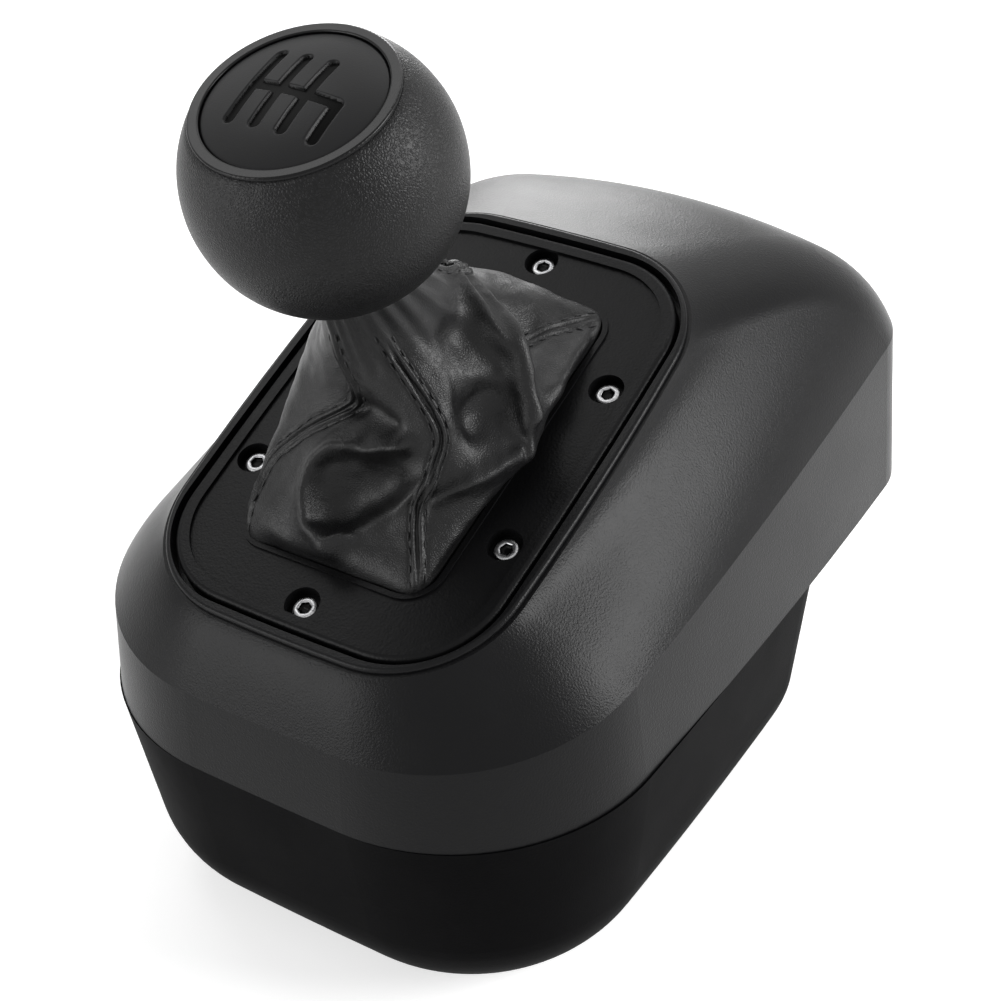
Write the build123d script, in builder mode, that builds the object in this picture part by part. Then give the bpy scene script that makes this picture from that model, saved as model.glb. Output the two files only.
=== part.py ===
from build123d import *
from math import cos, hypot, radians, sin
import os

os.makedirs("parts", exist_ok=True)

# Sim racing gear shifter. The driver sits on the -Y side, +X is to the driver's right and +Z is up.
# The origin is the middle of the underside of the housing.

# Housing, overall
body_width = 132.0
body_length = 186.0
base_depth = 54.0            # underside up to the parting line
band_near_height = 19.0      # parting line up to the crease, at the driver's end
band_far_height = 41.5       # the same at the far end
band_draft = 2.0
shell_wall = 2.6
near_corner = 46.0
far_corner = 20.0
side_bow = 2.5
end_bow = 1.5
far_bow = 4.0
overrun = 1.0
slip = 0.3                   # gap between pieces that lie next to each other
seat_gap = 0.05              # gap of a piece in its own seat

# Deck: the sloping plane of the face plate, at right angles to the lever
deck_tilt = 19.5
deck_from_near = 66.0
deck_rise = 55.5             # above the parting line
lip_width = 2.2
lip_corner = 27.0
lip_round = 0.9
lip_rise = 1.2               # the lip stands this far proud of the crown
lip_shoulder = 0.8           # flat strip between the crown and the lip
groove_gap = 1.0

# Crown of the upper shell, as shares of the way from the crease to the lip: how far in, how far up
low_near_shares = (0.25, 0.30)
low_far_shares = (0.08, 0.44)
low_far_bow = 9.0
low_side_share = 0.27
high_near_shares = (0.60, 0.68)
high_far_shares = (0.42, 0.78)
high_far_bow = 10.0
high_side_share = 0.66
low_corner_share = 0.24
high_corner_share = 0.62

# Face plate
plate_width = 81.0
plate_length = 112.0
plate_corner = 22.0
plate_bow = 1.2
plate_thickness = 4.6
bead_width = 3.2
bead_height = 0.7
bead_outer_round = 1.3
ledge_thickness = 2.6
mouth_width = 48.0
mouth_length = 80.5
mouth_corner = 7.0
mouth_lip = 1.2
mouth_lip_height = 0.5
ledge_mouth_extra = 3.0      # the ledge's mouth is this much larger all round, for the boot's hem

# Plate screws: six, one at each end and two at each side
end_screw_reach = 49.5
side_screw_reach = 32.3
side_screw_spread = 21.5
screw_shank = 1.5
screw_head = 2.75
screw_head_height = 2.0
screw_hex = 2.5
screw_length = 8.0
screw_hole = 1.7
screw_sink = 3.9
screw_sink_depth = 2.7       # below the plate's field

# Lower shell
base_length = 138.5          # near end to the wall that meets the table edge
base_draft = 6.5
base_round = 24.0
base_wall = 3.4
base_bow = 1.4
base_far_corner = 20.0
floor_thickness = 3.0
tongue_height = 2.5
tongue_wall = 1.8

parting = base_depth
near_end = -body_length / 2
far_end = body_length / 2
half_body = body_width / 2
base_end = near_end + base_length
overhang = body_length - base_length
deck_y = near_end + deck_from_near
deck_z = parting + deck_rise
tilt = radians(deck_tilt)
deck = Plane(origin=(0, deck_y, deck_z), x_dir=(1, 0, 0), z_dir=(0, -sin(tilt), cos(tilt)))


def bowed_outline(half_width, half_length, near_radius, far_radius, side, near, far):
    """Closed outline about the origin, near end at -Y, with slightly bowed edges and round corners."""
    with BuildSketch() as outline:
        corner_x, near_y, far_y = half_width - side, near - half_length, half_length - far
        with BuildLine():
            ThreePointArc((-corner_x, near_y), (0, -half_length), (corner_x, near_y))
            ThreePointArc((corner_x, near_y), (half_width, 0), (corner_x, far_y))
            ThreePointArc((corner_x, far_y), (0, half_length), (-corner_x, far_y))
            ThreePointArc((-corner_x, far_y), (-half_width, 0), (-corner_x, near_y))
        make_face()
        fillet(outline.vertices().group_by(Axis.Y)[0], near_radius)
        fillet(outline.vertices().group_by(Axis.Y)[-1], far_radius)
    return outline.sketch


def housing_section(near_point, far_point, half_width, near_radius, far_radius, far=far_bow):
    """Outline of the housing on the plane through its near and far points, given as (y, z)."""
    run, rise = far_point[0] - near_point[0], far_point[1] - near_point[1]
    middle = (0, (near_point[0] + far_point[0]) / 2, (near_point[1] + far_point[1]) / 2)
    plane = Plane(origin=middle, x_dir=(1, 0, 0), z_dir=(0, -rise, run))
    with BuildSketch(plane) as section:
        half_length = hypot(run, rise) / 2
        add(bowed_outline(half_width, half_length, near_radius, far_radius, side_bow, end_bow, far))
    return section.sketch


def between(start, end, shares):
    """Point that has gone the given shares of the way, in Y and in Z."""
    return tuple(a + (b - a) * share for a, b, share in zip(start, end, shares))


def blend_number(start, end, share):
    return start + (end - start) * share


def deck_point(along, up):
    """(y, z) of a point on the middle line, along the deck and up the lever's axis."""
    return deck_y + along * cos(tilt) - up * sin(tilt), deck_z + along * sin(tilt) + up * cos(tilt)


def full_outline(skin):
    """Outline of the whole housing at the parting line, pulled in by skin."""
    radii = near_corner - skin, far_corner - skin
    return bowed_outline(half_body - skin, body_length / 2 - skin, *radii, side_bow, end_bow, far_bow)


def base_outline(skin):
    """Outline of the base at the parting line. It ends at the wall that meets the table edge."""
    radii = near_corner - skin, base_far_corner - skin
    return bowed_outline(half_body - skin, base_length / 2 - skin, *radii, base_bow, end_bow, end_bow)


lip_half_width = plate_width / 2 + groove_gap + lip_width
lip_half_length = plate_length / 2 + groove_gap + lip_width
deck_stack = plate_thickness + ledge_thickness


def upper_form(skin, roof_drop, shoulder):
    """The upper shell's outer form, or its cavity when skin is the wall to leave."""
    roof_half_width, roof_half_length = lip_half_width + shoulder, lip_half_length + shoulder
    band_foot = [(near_end + skin, parting), (far_end - skin, parting)]
    crease_near = (near_end + band_draft + skin, parting + band_near_height - skin)
    crease_far = (far_end - band_draft - skin, parting + band_far_height - skin)
    lip_near = deck_point(-roof_half_length, -roof_drop)
    lip_far = deck_point(roof_half_length, -roof_drop)
    crease_half = half_body - band_draft - skin
    foot = housing_section(*band_foot, half_body - skin, near_corner - skin, far_corner - skin)
    crease = housing_section(
        crease_near, crease_far, crease_half, near_corner - skin - band_draft, far_corner - skin - band_draft
    )
    crown = [crease]
    for near_shares, far_shares, side_share, corner_share, bow in (
        (low_near_shares, low_far_shares, low_side_share, low_corner_share, low_far_bow),
        (high_near_shares, high_far_shares, high_side_share, high_corner_share, high_far_bow),
    ):
        crown.append(
            housing_section(
                between(crease_near, lip_near, near_shares),
                between(crease_far, lip_far, far_shares),
                blend_number(crease_half, roof_half_width, side_share),
                blend_number(near_corner - skin - band_draft, lip_corner, corner_share),
                blend_number(far_corner - skin - band_draft, lip_corner, corner_share),
                bow,
            )
        )
    roof_corner = lip_corner + shoulder
    crown.append(housing_section(lip_near, lip_far, roof_half_width, roof_corner, roof_corner, end_bow))
    with BuildPart() as form:
        loft(sections=[foot, crease], ruled=True)
        loft(sections=crown)
    return form.part


def boxed(plane, low, high):
    """Plain block between two corners, both given on the plane as (x, y, z)."""
    with BuildPart(plane, mode=Mode.PRIVATE) as block:
        with Locations(low):
            Box(*[b - a for a, b in zip(low, high)], align=(Align.MIN, Align.MIN, Align.MIN))
    return block.part


def turned(plane, radius, start, end, bore=0.0):
    """Round bar or ring along the plane's normal, from start to end."""
    with BuildPart(mode=Mode.PRIVATE) as bar:
        with BuildSketch(plane.offset(start)):
            Circle(radius)
            if bore:
                Circle(bore, mode=Mode.SUBTRACT)
        extrude(amount=end - start)
    return bar.part


def plate_outline(grow=0.0):
    return bowed_outline(
        plate_width / 2 + grow,
        plate_length / 2 + grow,
        plate_corner + grow,
        plate_corner + grow,
        plate_bow,
        plate_bow,
        plate_bow,
    )


def mouth_outline(grow=0.0):
    with BuildSketch() as outline:
        RectangleRounded(mouth_width + 2 * grow, mouth_length + 2 * grow, mouth_corner + grow)
    return outline.sketch


def plate_screw_places():
    return [
        (0, -end_screw_reach),
        (0, end_screw_reach),
        (side_screw_reach, -side_screw_spread),
        (-side_screw_reach, -side_screw_spread),
        (side_screw_reach, side_screw_spread),
        (-side_screw_reach, side_screw_spread),
    ]


def save(builder, name):
    builder.part.label = name
    export_step(builder.part, f"parts/{name}.step")


# Case screws: three come up through wells in the base, two through the overhang
case_screw_shank = 1.75
case_screw_head = 3.1
case_screw_head_height = 2.4
case_screw_length = 16.0
case_screw_hole = 2.0
boss_radius = 4.2
well_radius = 5.2
post_radius = 7.2
post_height = 40.0
post_web = 5.0
near_well_offset = -12.0
near_well_inset = 17.0       # from the near end
side_well_inset = 18.0       # from the side
side_well_reach = 59.0       # from the near end
overhang_screw_inset = 20.0  # from the side
overhang_screw_share = 0.40  # of the overhang, from the far end
overhang_post_height = 6.0
near_boss_top = 22.0         # above the parting line
side_boss_top = 44.0
rib_thickness = 2.4

near_well = (near_well_offset, near_end + near_well_inset)
side_well_x, side_well_y = half_body - side_well_inset, near_end + side_well_reach
base_wells = [near_well, (side_well_x, side_well_y), (-side_well_x, side_well_y)]
overhang_screw_x = half_body - overhang_screw_inset
overhang_screw_y = far_end - overhang * overhang_screw_share
overhang_screws = [(overhang_screw_x, overhang_screw_y), (-overhang_screw_x, overhang_screw_y)]
outer_form = upper_form(0, lip_rise, lip_shoulder)

# Upper shell: one thin moulding with a recessed ledge for the face plate and bosses for the case screws
with BuildPart() as boss_room:
    add(outer_form)
    add(turned(Plane.XY, body_length, post_height, parting))

with BuildPart() as boss_set:
    for place in base_wells:
        with BuildSketch(Plane.XY.offset(post_height + slip)):
            with Locations(place):
                Circle(boss_radius)
        boss_top = parting + (near_boss_top if place == near_well else side_boss_top)
        extrude(amount=boss_top - post_height - slip)
    with BuildSketch(Plane.XY.offset(parting + overhang_post_height + slip)):
        with Locations(*overhang_screws):
            Circle(boss_radius)
    extrude(amount=deck_z - parting)
    with BuildSketch(Plane.XY.offset(parting + tongue_height + slip)):
        with Locations((near_well[0], (near_end + near_well[1]) / 2)):
            Rectangle(rib_thickness, near_well[1] - near_end)
    extrude(amount=near_boss_top - tongue_height - slip)
    add(boss_room.part, mode=Mode.INTERSECT)

with BuildPart() as upper_shell:
    add(outer_form)
    with BuildSketch(deck.offset(-lip_rise)):
        lip_corners = lip_corner, lip_corner
        add(bowed_outline(lip_half_width, lip_half_length, *lip_corners, side_bow, end_bow, end_bow))
    extrude(amount=lip_rise)
    lip_edges = upper_shell.faces().sort_by(Axis((0, deck_y, deck_z), deck.z_dir))[-1].edges()
    fillet(lip_edges, lip_round)
    add(upper_form(shell_wall, deck_stack, 0), mode=Mode.SUBTRACT)
    with BuildSketch(deck.offset(-plate_thickness)):
        add(plate_outline(groove_gap))
    extrude(amount=plate_thickness + overrun, mode=Mode.SUBTRACT)
    with BuildSketch(deck.offset(-plate_thickness)):
        add(mouth_outline(ledge_mouth_extra))
        with Locations(*plate_screw_places()):
            Circle(screw_hole)
    extrude(amount=-ledge_thickness - overrun, mode=Mode.SUBTRACT)
    add(boss_set.part)
    with BuildSketch(Plane.XY.offset(post_height + slip)):
        with Locations(*base_wells):
            Circle(case_screw_shank)
    extrude(amount=case_screw_length, mode=Mode.SUBTRACT)
    with BuildSketch(Plane.XY.offset(parting + overhang_post_height + slip)):
        with Locations(*overhang_screws):
            Circle(case_screw_shank)
    extrude(amount=case_screw_length, mode=Mode.SUBTRACT)
save(upper_shell, "upper_shell")

# Clamps: two jaws that screws draw up against the underside of the table
clamp_reach = 38.0           # from the middle line to each clamp screw
clamp_set_back = 27.5        # from the wall at the table edge
clamp_travel = 26.0
clamp_rod = 4.0
clamp_rod_length = 57.0
clamp_rod_foot = 2.0
clamp_knob_radius = 12.0
clamp_knob_height = 10.0
clamp_knob_foot = 1.2
clamp_flutes = 8
clamp_flute_radius = 2.2
clamp_well_gap = 1.6
clamp_well_roof = 2.4
clamp_ring_radius = 6.5
clamp_ring_thickness = 0.8
jaw_half_width = 8.0
jaw_block_depth = 17.0
jaw_block_height = 12.0
jaw_arm_half_width = 5.0
jaw_arm_thickness = 8.0
jaw_reach_share = 0.56       # of the overhang
jaw_drop_thickness = 6.0
jaw_foot_z = 3.0
jaw_foot_thickness = 7.0
pad_thickness = 2.0
pad_length_share = 0.34      # of the overhang
nut_across = 13.0
nut_thickness = 5.0
running_gap = 0.08

# Table pads under the overhang, and the brass inserts for bolting the housing to a rig
table_pad_length = 70.0
table_pad_thickness = 1.5
table_pad_width_share = 0.19          # of the overhang
table_pad_shares = (0.22, 0.81)       # of the overhang, from the wall at the table edge
insert_reach = 30.0
insert_share = 0.516
insert_radius = 4.5
insert_bore = 2.5
insert_length = 9.0
insert_boss = 7.0

# Cable inlet in the wall that faces the table edge
inlet_height = 24.0
inlet_bore = 2.6
inlet_radius = 4.2
inlet_flange = 5.8
inlet_flange_thickness = 1.5
inlet_inner_length = 8.0

# Circuit board
board_width = 60.0
board_length = 34.0
board_thickness = 1.6
board_reach = 46.0           # from the near end
board_z = 8.0
board_post = 3.2
board_pilot = 1.0
board_hole = 1.25
board_inset = 4.0

clamp_sides = {"left": -1, "right": 1}
clamp_y = base_end - clamp_set_back
jaw_arm_end = base_end + overhang * jaw_reach_share
pad_length = overhang * pad_length_share
table_pad_width = overhang * table_pad_width_share
table_pad_places = [base_end + overhang * share for share in table_pad_shares]
insert_y = base_end + overhang * insert_share
board_y = near_end + board_reach
well_roof = clamp_knob_foot + clamp_knob_height + clamp_well_gap
jaw_block_foot = well_roof + clamp_well_roof + clamp_ring_thickness + 2 * slip
jaw_arm_top = jaw_block_foot + jaw_arm_thickness
board_places = [
    (x, board_y + y)
    for x in (board_inset - board_width / 2, board_width / 2 - board_inset)
    for y in (board_inset - board_length / 2, board_length / 2 - board_inset)
]


def base_form(skin, foot):
    """The base's outer form, or its cavity when skin is the wall to leave and foot the floor."""
    middle = Plane.XY.offset(parting).move(Location((0, near_end + base_length / 2, 0)))
    with BuildPart() as form:
        with BuildSketch(middle):
            add(base_outline(skin))
        with BuildSketch(middle.offset(foot - parting)):
            add(base_outline(skin + base_draft * (parting - foot) / parting))
        loft(ruled=True)
        floor_edges = form.faces().sort_by(Axis.Z)[0].edges()
        fillet(floor_edges, base_round - skin)
    return form.part


base_block = base_form(0, 0)
clamp_places = [(side * clamp_reach, clamp_y) for side in clamp_sides.values()]
clamp_well = clamp_knob_radius + clamp_well_gap
insert_places = [(-insert_reach, insert_y), (insert_reach, insert_y)]

# Screw posts and clamp wells that stand on the base's floor, kept inside its rounded outer form
with BuildPart() as floor_posts:
    with BuildSketch():
        with Locations(*base_wells):
            Circle(post_radius)
    extrude(amount=post_height)
    with BuildSketch():
        with Locations(*clamp_places):
            Circle(clamp_well + clamp_well_roof)
    extrude(amount=well_roof + clamp_well_roof)
    add(base_block, mode=Mode.INTERSECT)

# Lower shell: a deep tub with a shelf under the overhang
with BuildPart() as lower_shell:
    add(base_block)
    with BuildSketch(Plane.XY.offset(parting)):
        add(full_outline(shell_wall + slip))
    extrude(amount=tongue_height)
    add(base_form(base_wall, floor_thickness), mode=Mode.SUBTRACT)
    with BuildSketch(Plane.XY.offset(parting)):
        with Locations((0, near_end + base_length / 2)):
            add(base_outline(shell_wall + slip + tongue_wall))
    extrude(amount=tongue_height, mode=Mode.SUBTRACT)
    add(floor_posts.part)
    with BuildSketch(Plane.XY.offset(floor_thickness / 2)):
        with Locations(*board_places):
            Circle(board_post)
    extrude(amount=board_z - floor_thickness / 2)
    for places, radius, height in (
        (overhang_screws, post_radius, overhang_post_height),
        (insert_places, insert_boss, insert_length),
    ):
        with BuildSketch(Plane.XY.offset(parting)):
            with Locations(*places):
                Circle(radius)
            add(full_outline(shell_wall + slip), mode=Mode.INTERSECT)
        extrude(amount=height)

    # screw wells and holes
    with BuildSketch():
        with Locations(*base_wells):
            Circle(well_radius)
    extrude(amount=post_height - post_web, mode=Mode.SUBTRACT)
    with BuildSketch():
        with Locations(*base_wells):
            Circle(case_screw_hole)
    extrude(amount=post_height, mode=Mode.SUBTRACT)
    with BuildSketch(Plane.XY.offset(parting)):
        with Locations(*overhang_screws):
            Circle(well_radius)
    extrude(amount=case_screw_head_height + slip, mode=Mode.SUBTRACT)
    with BuildSketch(Plane.XY.offset(parting)):
        with Locations(*overhang_screws):
            Circle(case_screw_hole)
    extrude(amount=overhang_post_height, mode=Mode.SUBTRACT)
    with BuildSketch(Plane.XY.offset(parting)):
        with Locations(*insert_places):
            Circle(insert_radius + seat_gap)
    extrude(amount=insert_length, mode=Mode.SUBTRACT)
    with BuildSketch(Plane.XY.offset(board_z)):
        with Locations(*board_places):
            Circle(board_pilot)
    extrude(amount=floor_thickness - board_z, mode=Mode.SUBTRACT)

    # clamp knob wells, the holes for the screws and the slots for the jaws' arms
    with BuildSketch():
        with Locations(*clamp_places):
            Circle(clamp_well)
    extrude(amount=well_roof, mode=Mode.SUBTRACT)
    with BuildSketch():
        with Locations(*clamp_places):
            Circle(clamp_rod + running_gap)
    extrude(amount=well_roof + clamp_well_roof, mode=Mode.SUBTRACT)
    slot_foot = jaw_block_foot - slip
    with BuildSketch(Plane.XY.offset(slot_foot)):
        with Locations(*[(x, base_end) for x, y in clamp_places]):
            Rectangle(2 * (jaw_arm_half_width + slip), 2 * (base_wall + base_draft))
    extrude(amount=jaw_arm_top + clamp_travel + slip - slot_foot, mode=Mode.SUBTRACT)

    # cable inlet
    inlet_wall_y = base_end - base_draft * (parting - inlet_height) / parting
    inlet = Plane(origin=(0, inlet_wall_y, inlet_height), x_dir=(1, 0, 0), z_dir=(0, parting, -base_draft))
    add(turned(inlet, inlet_radius, -base_wall - overrun, overrun), mode=Mode.SUBTRACT)
save(lower_shell, "lower_shell")

# Case screws
with BuildPart() as case_screws:
    for place, seat in [(p, post_height - post_web) for p in base_wells] + [
        (p, parting + case_screw_head_height + slip) for p in overhang_screws
    ]:
        with BuildSketch(Plane.XY.offset(seat)):
            with Locations(place):
                Circle(case_screw_head)
        extrude(amount=-case_screw_head_height)
        with BuildSketch(Plane.XY.offset(seat)):
            with Locations(place):
                Circle(case_screw_shank)
        extrude(amount=case_screw_length)
        with BuildSketch(Plane.XY.offset(seat - case_screw_head_height)):
            with Locations(place):
                Rectangle(case_screw_head, case_screw_head / 4)
                Rectangle(case_screw_head / 4, case_screw_head)
        extrude(amount=case_screw_head_height / 2, mode=Mode.SUBTRACT)
save(case_screws, "case_screws")

# Table pads: two rubber strips under the overhang
with BuildPart() as table_pads:
    with BuildSketch(Plane.XY.offset(parting)):
        with Locations(*[(0, y) for y in table_pad_places]):
            SlotOverall(table_pad_length, table_pad_width)
    extrude(amount=-table_pad_thickness)
    chamfer(table_pads.faces().group_by(Axis.Z)[0].edges(), table_pad_thickness / 3)
save(table_pads, "table_pads")

with BuildPart() as rig_inserts:
    with BuildSketch(Plane.XY.offset(parting)):
        with Locations(*insert_places):
            Circle(insert_radius)
            Circle(insert_bore, mode=Mode.SUBTRACT)
    extrude(amount=insert_length)
save(rig_inserts, "rig_inserts")

# Cable grommet: the lead itself is left out
with BuildPart() as cable_grommet:
    add(turned(inlet, inlet_radius, -base_wall - inlet_inner_length, 0, inlet_bore))
    add(turned(inlet, inlet_flange, 0, inlet_flange_thickness, inlet_bore))
    fillet(cable_grommet.edges().sort_by(Axis.Y)[-2:], inlet_flange_thickness / 2)
save(cable_grommet, "cable_grommet")

# Clamps, one on each side
for side_name, side in clamp_sides.items():
    axis = Plane.XY.move(Location((side * clamp_reach, clamp_y, 0)))

    with BuildPart() as clamp_knob:
        with BuildSketch(axis.offset(clamp_knob_foot)):
            Circle(clamp_knob_radius)
            with PolarLocations(clamp_knob_radius + clamp_flute_radius / 2, clamp_flutes):
                Circle(clamp_flute_radius, mode=Mode.SUBTRACT)
            Circle(clamp_rod, mode=Mode.SUBTRACT)
        extrude(amount=clamp_knob_height)
        with BuildSketch(axis.offset(clamp_knob_foot)):
            Circle(clamp_rod)
        extrude(amount=clamp_rod_foot - clamp_knob_foot)
    save(clamp_knob, f"{side_name}_clamp_knob")

    with BuildPart() as clamp_screw:
        add(turned(axis, clamp_rod, clamp_rod_foot, clamp_rod_foot + clamp_rod_length))
        chamfer(clamp_screw.edges().sort_by(Axis.Z)[-1], clamp_ring_thickness)
    save(clamp_screw, f"{side_name}_clamp_screw")

    with BuildPart() as clamp_ring:
        ring_foot = well_roof + clamp_well_roof + slip
        add(turned(axis, clamp_ring_radius, ring_foot, ring_foot + clamp_ring_thickness, clamp_rod))
    save(clamp_ring, f"{side_name}_clamp_ring")

    with BuildPart() as clamp_jaw:
        block_far = jaw_block_depth / 2
        add(
            boxed(
                axis,
                (-jaw_half_width, -block_far, jaw_block_foot),
                (jaw_half_width, block_far, jaw_block_foot + jaw_block_height),
            )
        )
        with BuildSketch(Plane.YZ.offset(side * clamp_reach - jaw_arm_half_width)):
            with BuildLine():
                drop_y = base_end + slip
                Polyline(
                    (clamp_y, jaw_block_foot),
                    (drop_y, jaw_block_foot),
                    (drop_y, jaw_foot_z),
                    (jaw_arm_end, jaw_foot_z),
                    (jaw_arm_end, jaw_foot_z + jaw_foot_thickness),
                    (drop_y + jaw_drop_thickness, jaw_foot_z + jaw_foot_thickness),
                    (drop_y + jaw_drop_thickness, jaw_arm_top),
                    (clamp_y, jaw_arm_top),
                    close=True,
                )
            make_face()
        extrude(amount=2 * jaw_arm_half_width)
        fillet(
            clamp_jaw.edges().filter_by(Axis.X).sort_by(Axis.Y)[-2:],
            jaw_foot_thickness / 3,
        )
        add(turned(axis, clamp_rod + slip, 0, parting), mode=Mode.SUBTRACT)
        with BuildSketch(axis.offset(jaw_block_foot + jaw_block_height - nut_thickness)):
            RegularPolygon(nut_across / 2 + seat_gap, 6, major_radius=False)
        extrude(amount=nut_thickness + overrun, mode=Mode.SUBTRACT)
    save(clamp_jaw, f"{side_name}_clamp_jaw")

    with BuildPart() as clamp_nut:
        with BuildSketch(axis.offset(jaw_block_foot + jaw_block_height - nut_thickness)):
            RegularPolygon(nut_across / 2, 6, major_radius=False)
            Circle(clamp_rod + running_gap, mode=Mode.SUBTRACT)
        extrude(amount=nut_thickness)
    save(clamp_nut, f"{side_name}_clamp_nut")

    with BuildPart() as jaw_pad:
        with BuildSketch(Plane.XY.offset(jaw_foot_z + jaw_foot_thickness)):
            with Locations((side * clamp_reach, jaw_arm_end - jaw_foot_thickness / 3 - pad_length / 2)):
                Rectangle(2 * jaw_arm_half_width, pad_length)
        extrude(amount=pad_thickness)
        fillet(jaw_pad.edges().filter_by(Axis.Z), pad_thickness)
    save(jaw_pad, f"{side_name}_jaw_pad")

# Circuit board with its plug header, on four posts
header_size = (16.0, 6.0, 8.0)
chip_size = (10.0, 10.0, 1.6)
board_screw_head = 2.2
board_screw_head_height = 1.4
board_screw_length = 4.0
board_top = board_z + board_thickness
with BuildPart() as circuit_board:
    with BuildSketch(Plane.XY.offset(board_z)):
        with Locations((0, board_y)):
            RectangleRounded(board_width, board_length, board_post)
        with Locations(*board_places):
            Circle(board_hole, mode=Mode.SUBTRACT)
    extrude(amount=board_thickness)
save(circuit_board, "circuit_board")

with BuildPart() as board_header:
    with Locations((0, board_y + board_length / 2 - header_size[1], board_top)):
        Box(*header_size, align=(Align.CENTER, Align.CENTER, Align.MIN))
        with Locations((0, 0, header_size[2] / 3)):
            Box(
                header_size[0] - header_size[1] / 3,
                header_size[1] * 2 / 3,
                header_size[2],
                align=(Align.CENTER, Align.CENTER, Align.MIN),
                mode=Mode.SUBTRACT,
            )
save(board_header, "board_header")

with BuildPart() as control_chip:
    with Locations((0, board_y - header_size[1], board_top)):
        Box(*chip_size, align=(Align.CENTER, Align.CENTER, Align.MIN))
save(control_chip, "control_chip")

with BuildPart() as board_screws:
    with BuildSketch(Plane.XY.offset(board_top)):
        with Locations(*board_places):
            Circle(board_screw_head)
    extrude(amount=board_screw_head_height)
    with BuildSketch(Plane.XY.offset(board_top)):
        with Locations(*board_places):
            Circle(board_pilot)
    extrude(amount=-board_screw_length)
save(board_screws, "board_screws")

# Face plate: a recessed field inside a rolled bead, a slim lip round the mouth and six counterbores
with BuildPart() as face_plate:
    with BuildSketch(deck.offset(-plate_thickness)):
        add(plate_outline())
    extrude(amount=plate_thickness)
    top_edges = face_plate.faces().sort_by(Axis((0, deck_y, deck_z), deck.z_dir))[-1].edges()
    fillet(top_edges, bead_outer_round)
    with BuildSketch(deck.offset(-bead_height)):
        add(plate_outline(-bead_width))
    extrude(amount=bead_height + overrun, mode=Mode.SUBTRACT)
    with BuildSketch(deck.offset(-bead_height)):
        add(mouth_outline(mouth_lip))
    extrude(amount=mouth_lip_height)
    with BuildSketch(deck.offset(-plate_thickness)):
        add(mouth_outline())
    extrude(amount=plate_thickness + overrun, mode=Mode.SUBTRACT)
    with BuildSketch(deck.offset(-bead_height)):
        with Locations(*plate_screw_places()):
            Circle(screw_sink)
    extrude(amount=-screw_sink_depth, mode=Mode.SUBTRACT)
    with BuildSketch(deck.offset(-plate_thickness)):
        with Locations(*plate_screw_places()):
            Circle(screw_hole)
    extrude(amount=plate_thickness, mode=Mode.SUBTRACT)
save(face_plate, "face_plate")

# Plate screws: socket heads, down through the plate and the ledge into the mechanism frame
screw_seat = deck.offset(-bead_height - screw_sink_depth)
with BuildPart() as plate_screws:
    with BuildSketch(screw_seat):
        with Locations(*plate_screw_places()):
            Circle(screw_head)
    extrude(amount=screw_head_height)
    with BuildSketch(screw_seat):
        with Locations(*plate_screw_places()):
            Circle(screw_shank)
    extrude(amount=-screw_length)
    with BuildSketch(screw_seat.offset(screw_head_height)):
        with Locations(*plate_screw_places()):
            RegularPolygon(screw_hex / 2, 6, major_radius=False)
    extrude(amount=-screw_head_height * 2 / 3, mode=Mode.SUBTRACT)
save(plate_screws, "plate_screws")

# Boot: a leather gaiter with drawn-in panels, clamped by its hem and tied to a collar on the lever
boot_wall = 1.0
boot_top = 43.5              # above the deck
boot_top_radius = 11.6
boot_collar_radius = 10.4
boot_collar_foot = 36.0
boot_collar_height = 7.0
hem_thickness = 1.0
# how far up, half width, half length, corner, sideways shift, forward shift, pinch of sides, pinch of ends
boot_shares = [
    (0.06, 0.995, 0.990, 0.27, 0.00, 0.00, 0.02, 0.02),
    (0.24, 0.960, 0.950, 0.28, 0.02, 0.01, 0.10, 0.07),
    (0.46, 0.860, 0.820, 0.30, 0.06, 0.04, 0.15, 0.12),
    (0.68, 0.690, 0.600, 0.30, 0.08, 0.06, 0.12, 0.10),
    (0.86, 0.540, 0.385, 0.32, 0.03, 0.03, 0.03, 0.03),
]
top_bow_share = 0.22
top_corner_share = 0.72


def boot_form(skin):
    """The boot's outer form, or its inside when skin is the leather's thickness."""
    wide, long = mouth_width / 2 - slip, mouth_length / 2 - slip
    rows = [(-plate_thickness, wide, long, mouth_corner - slip, 0, 0, seat_gap, seat_gap)]
    for up, width, length, corner, right, ahead, side_pinch, end_pinch in boot_shares:
        rows.append(
            (
                boot_top * up,
                wide * width,
                long * length,
                wide * corner,
                wide * right,
                wide * ahead,
                -wide * side_pinch,
                -wide * end_pinch,
            )
        )
    top_bow = boot_top_radius * top_bow_share
    top_corner = boot_top_radius * top_corner_share
    rows.append((boot_top, boot_top_radius, boot_top_radius, top_corner, 0, 0, top_bow, top_bow))
    sections = []
    for height, half_width, half_length, corner, right, ahead, side, end in rows:
        with BuildSketch(deck.offset(height)) as section:
            with Locations((right, ahead)):
                corners = corner - skin / 2, corner - skin / 2
                add(bowed_outline(half_width - skin, half_length - skin, *corners, side, end, end))
        sections.append(section.sketch)
    with BuildPart() as form:
        loft(sections=sections)
    return form.part


with BuildPart() as boot:
    add(boot_form(0))
    with BuildSketch(deck.offset(-plate_thickness)):
        add(mouth_outline(ledge_mouth_extra - slip))
    extrude(amount=-hem_thickness)
    add(boot_form(boot_wall), mode=Mode.SUBTRACT)
    with BuildSketch(deck.offset(-plate_thickness)):
        add(mouth_outline(-slip - boot_wall))
    extrude(amount=-hem_thickness, mode=Mode.SUBTRACT)
save(boot, "boot")

with BuildPart() as boot_frame:
    with BuildSketch(deck.offset(-deck_stack)):
        add(mouth_outline(ledge_mouth_extra - slip))
        add(mouth_outline(-slip), mode=Mode.SUBTRACT)
    extrude(amount=ledge_thickness - hem_thickness)
save(boot_frame, "boot_frame")

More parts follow.
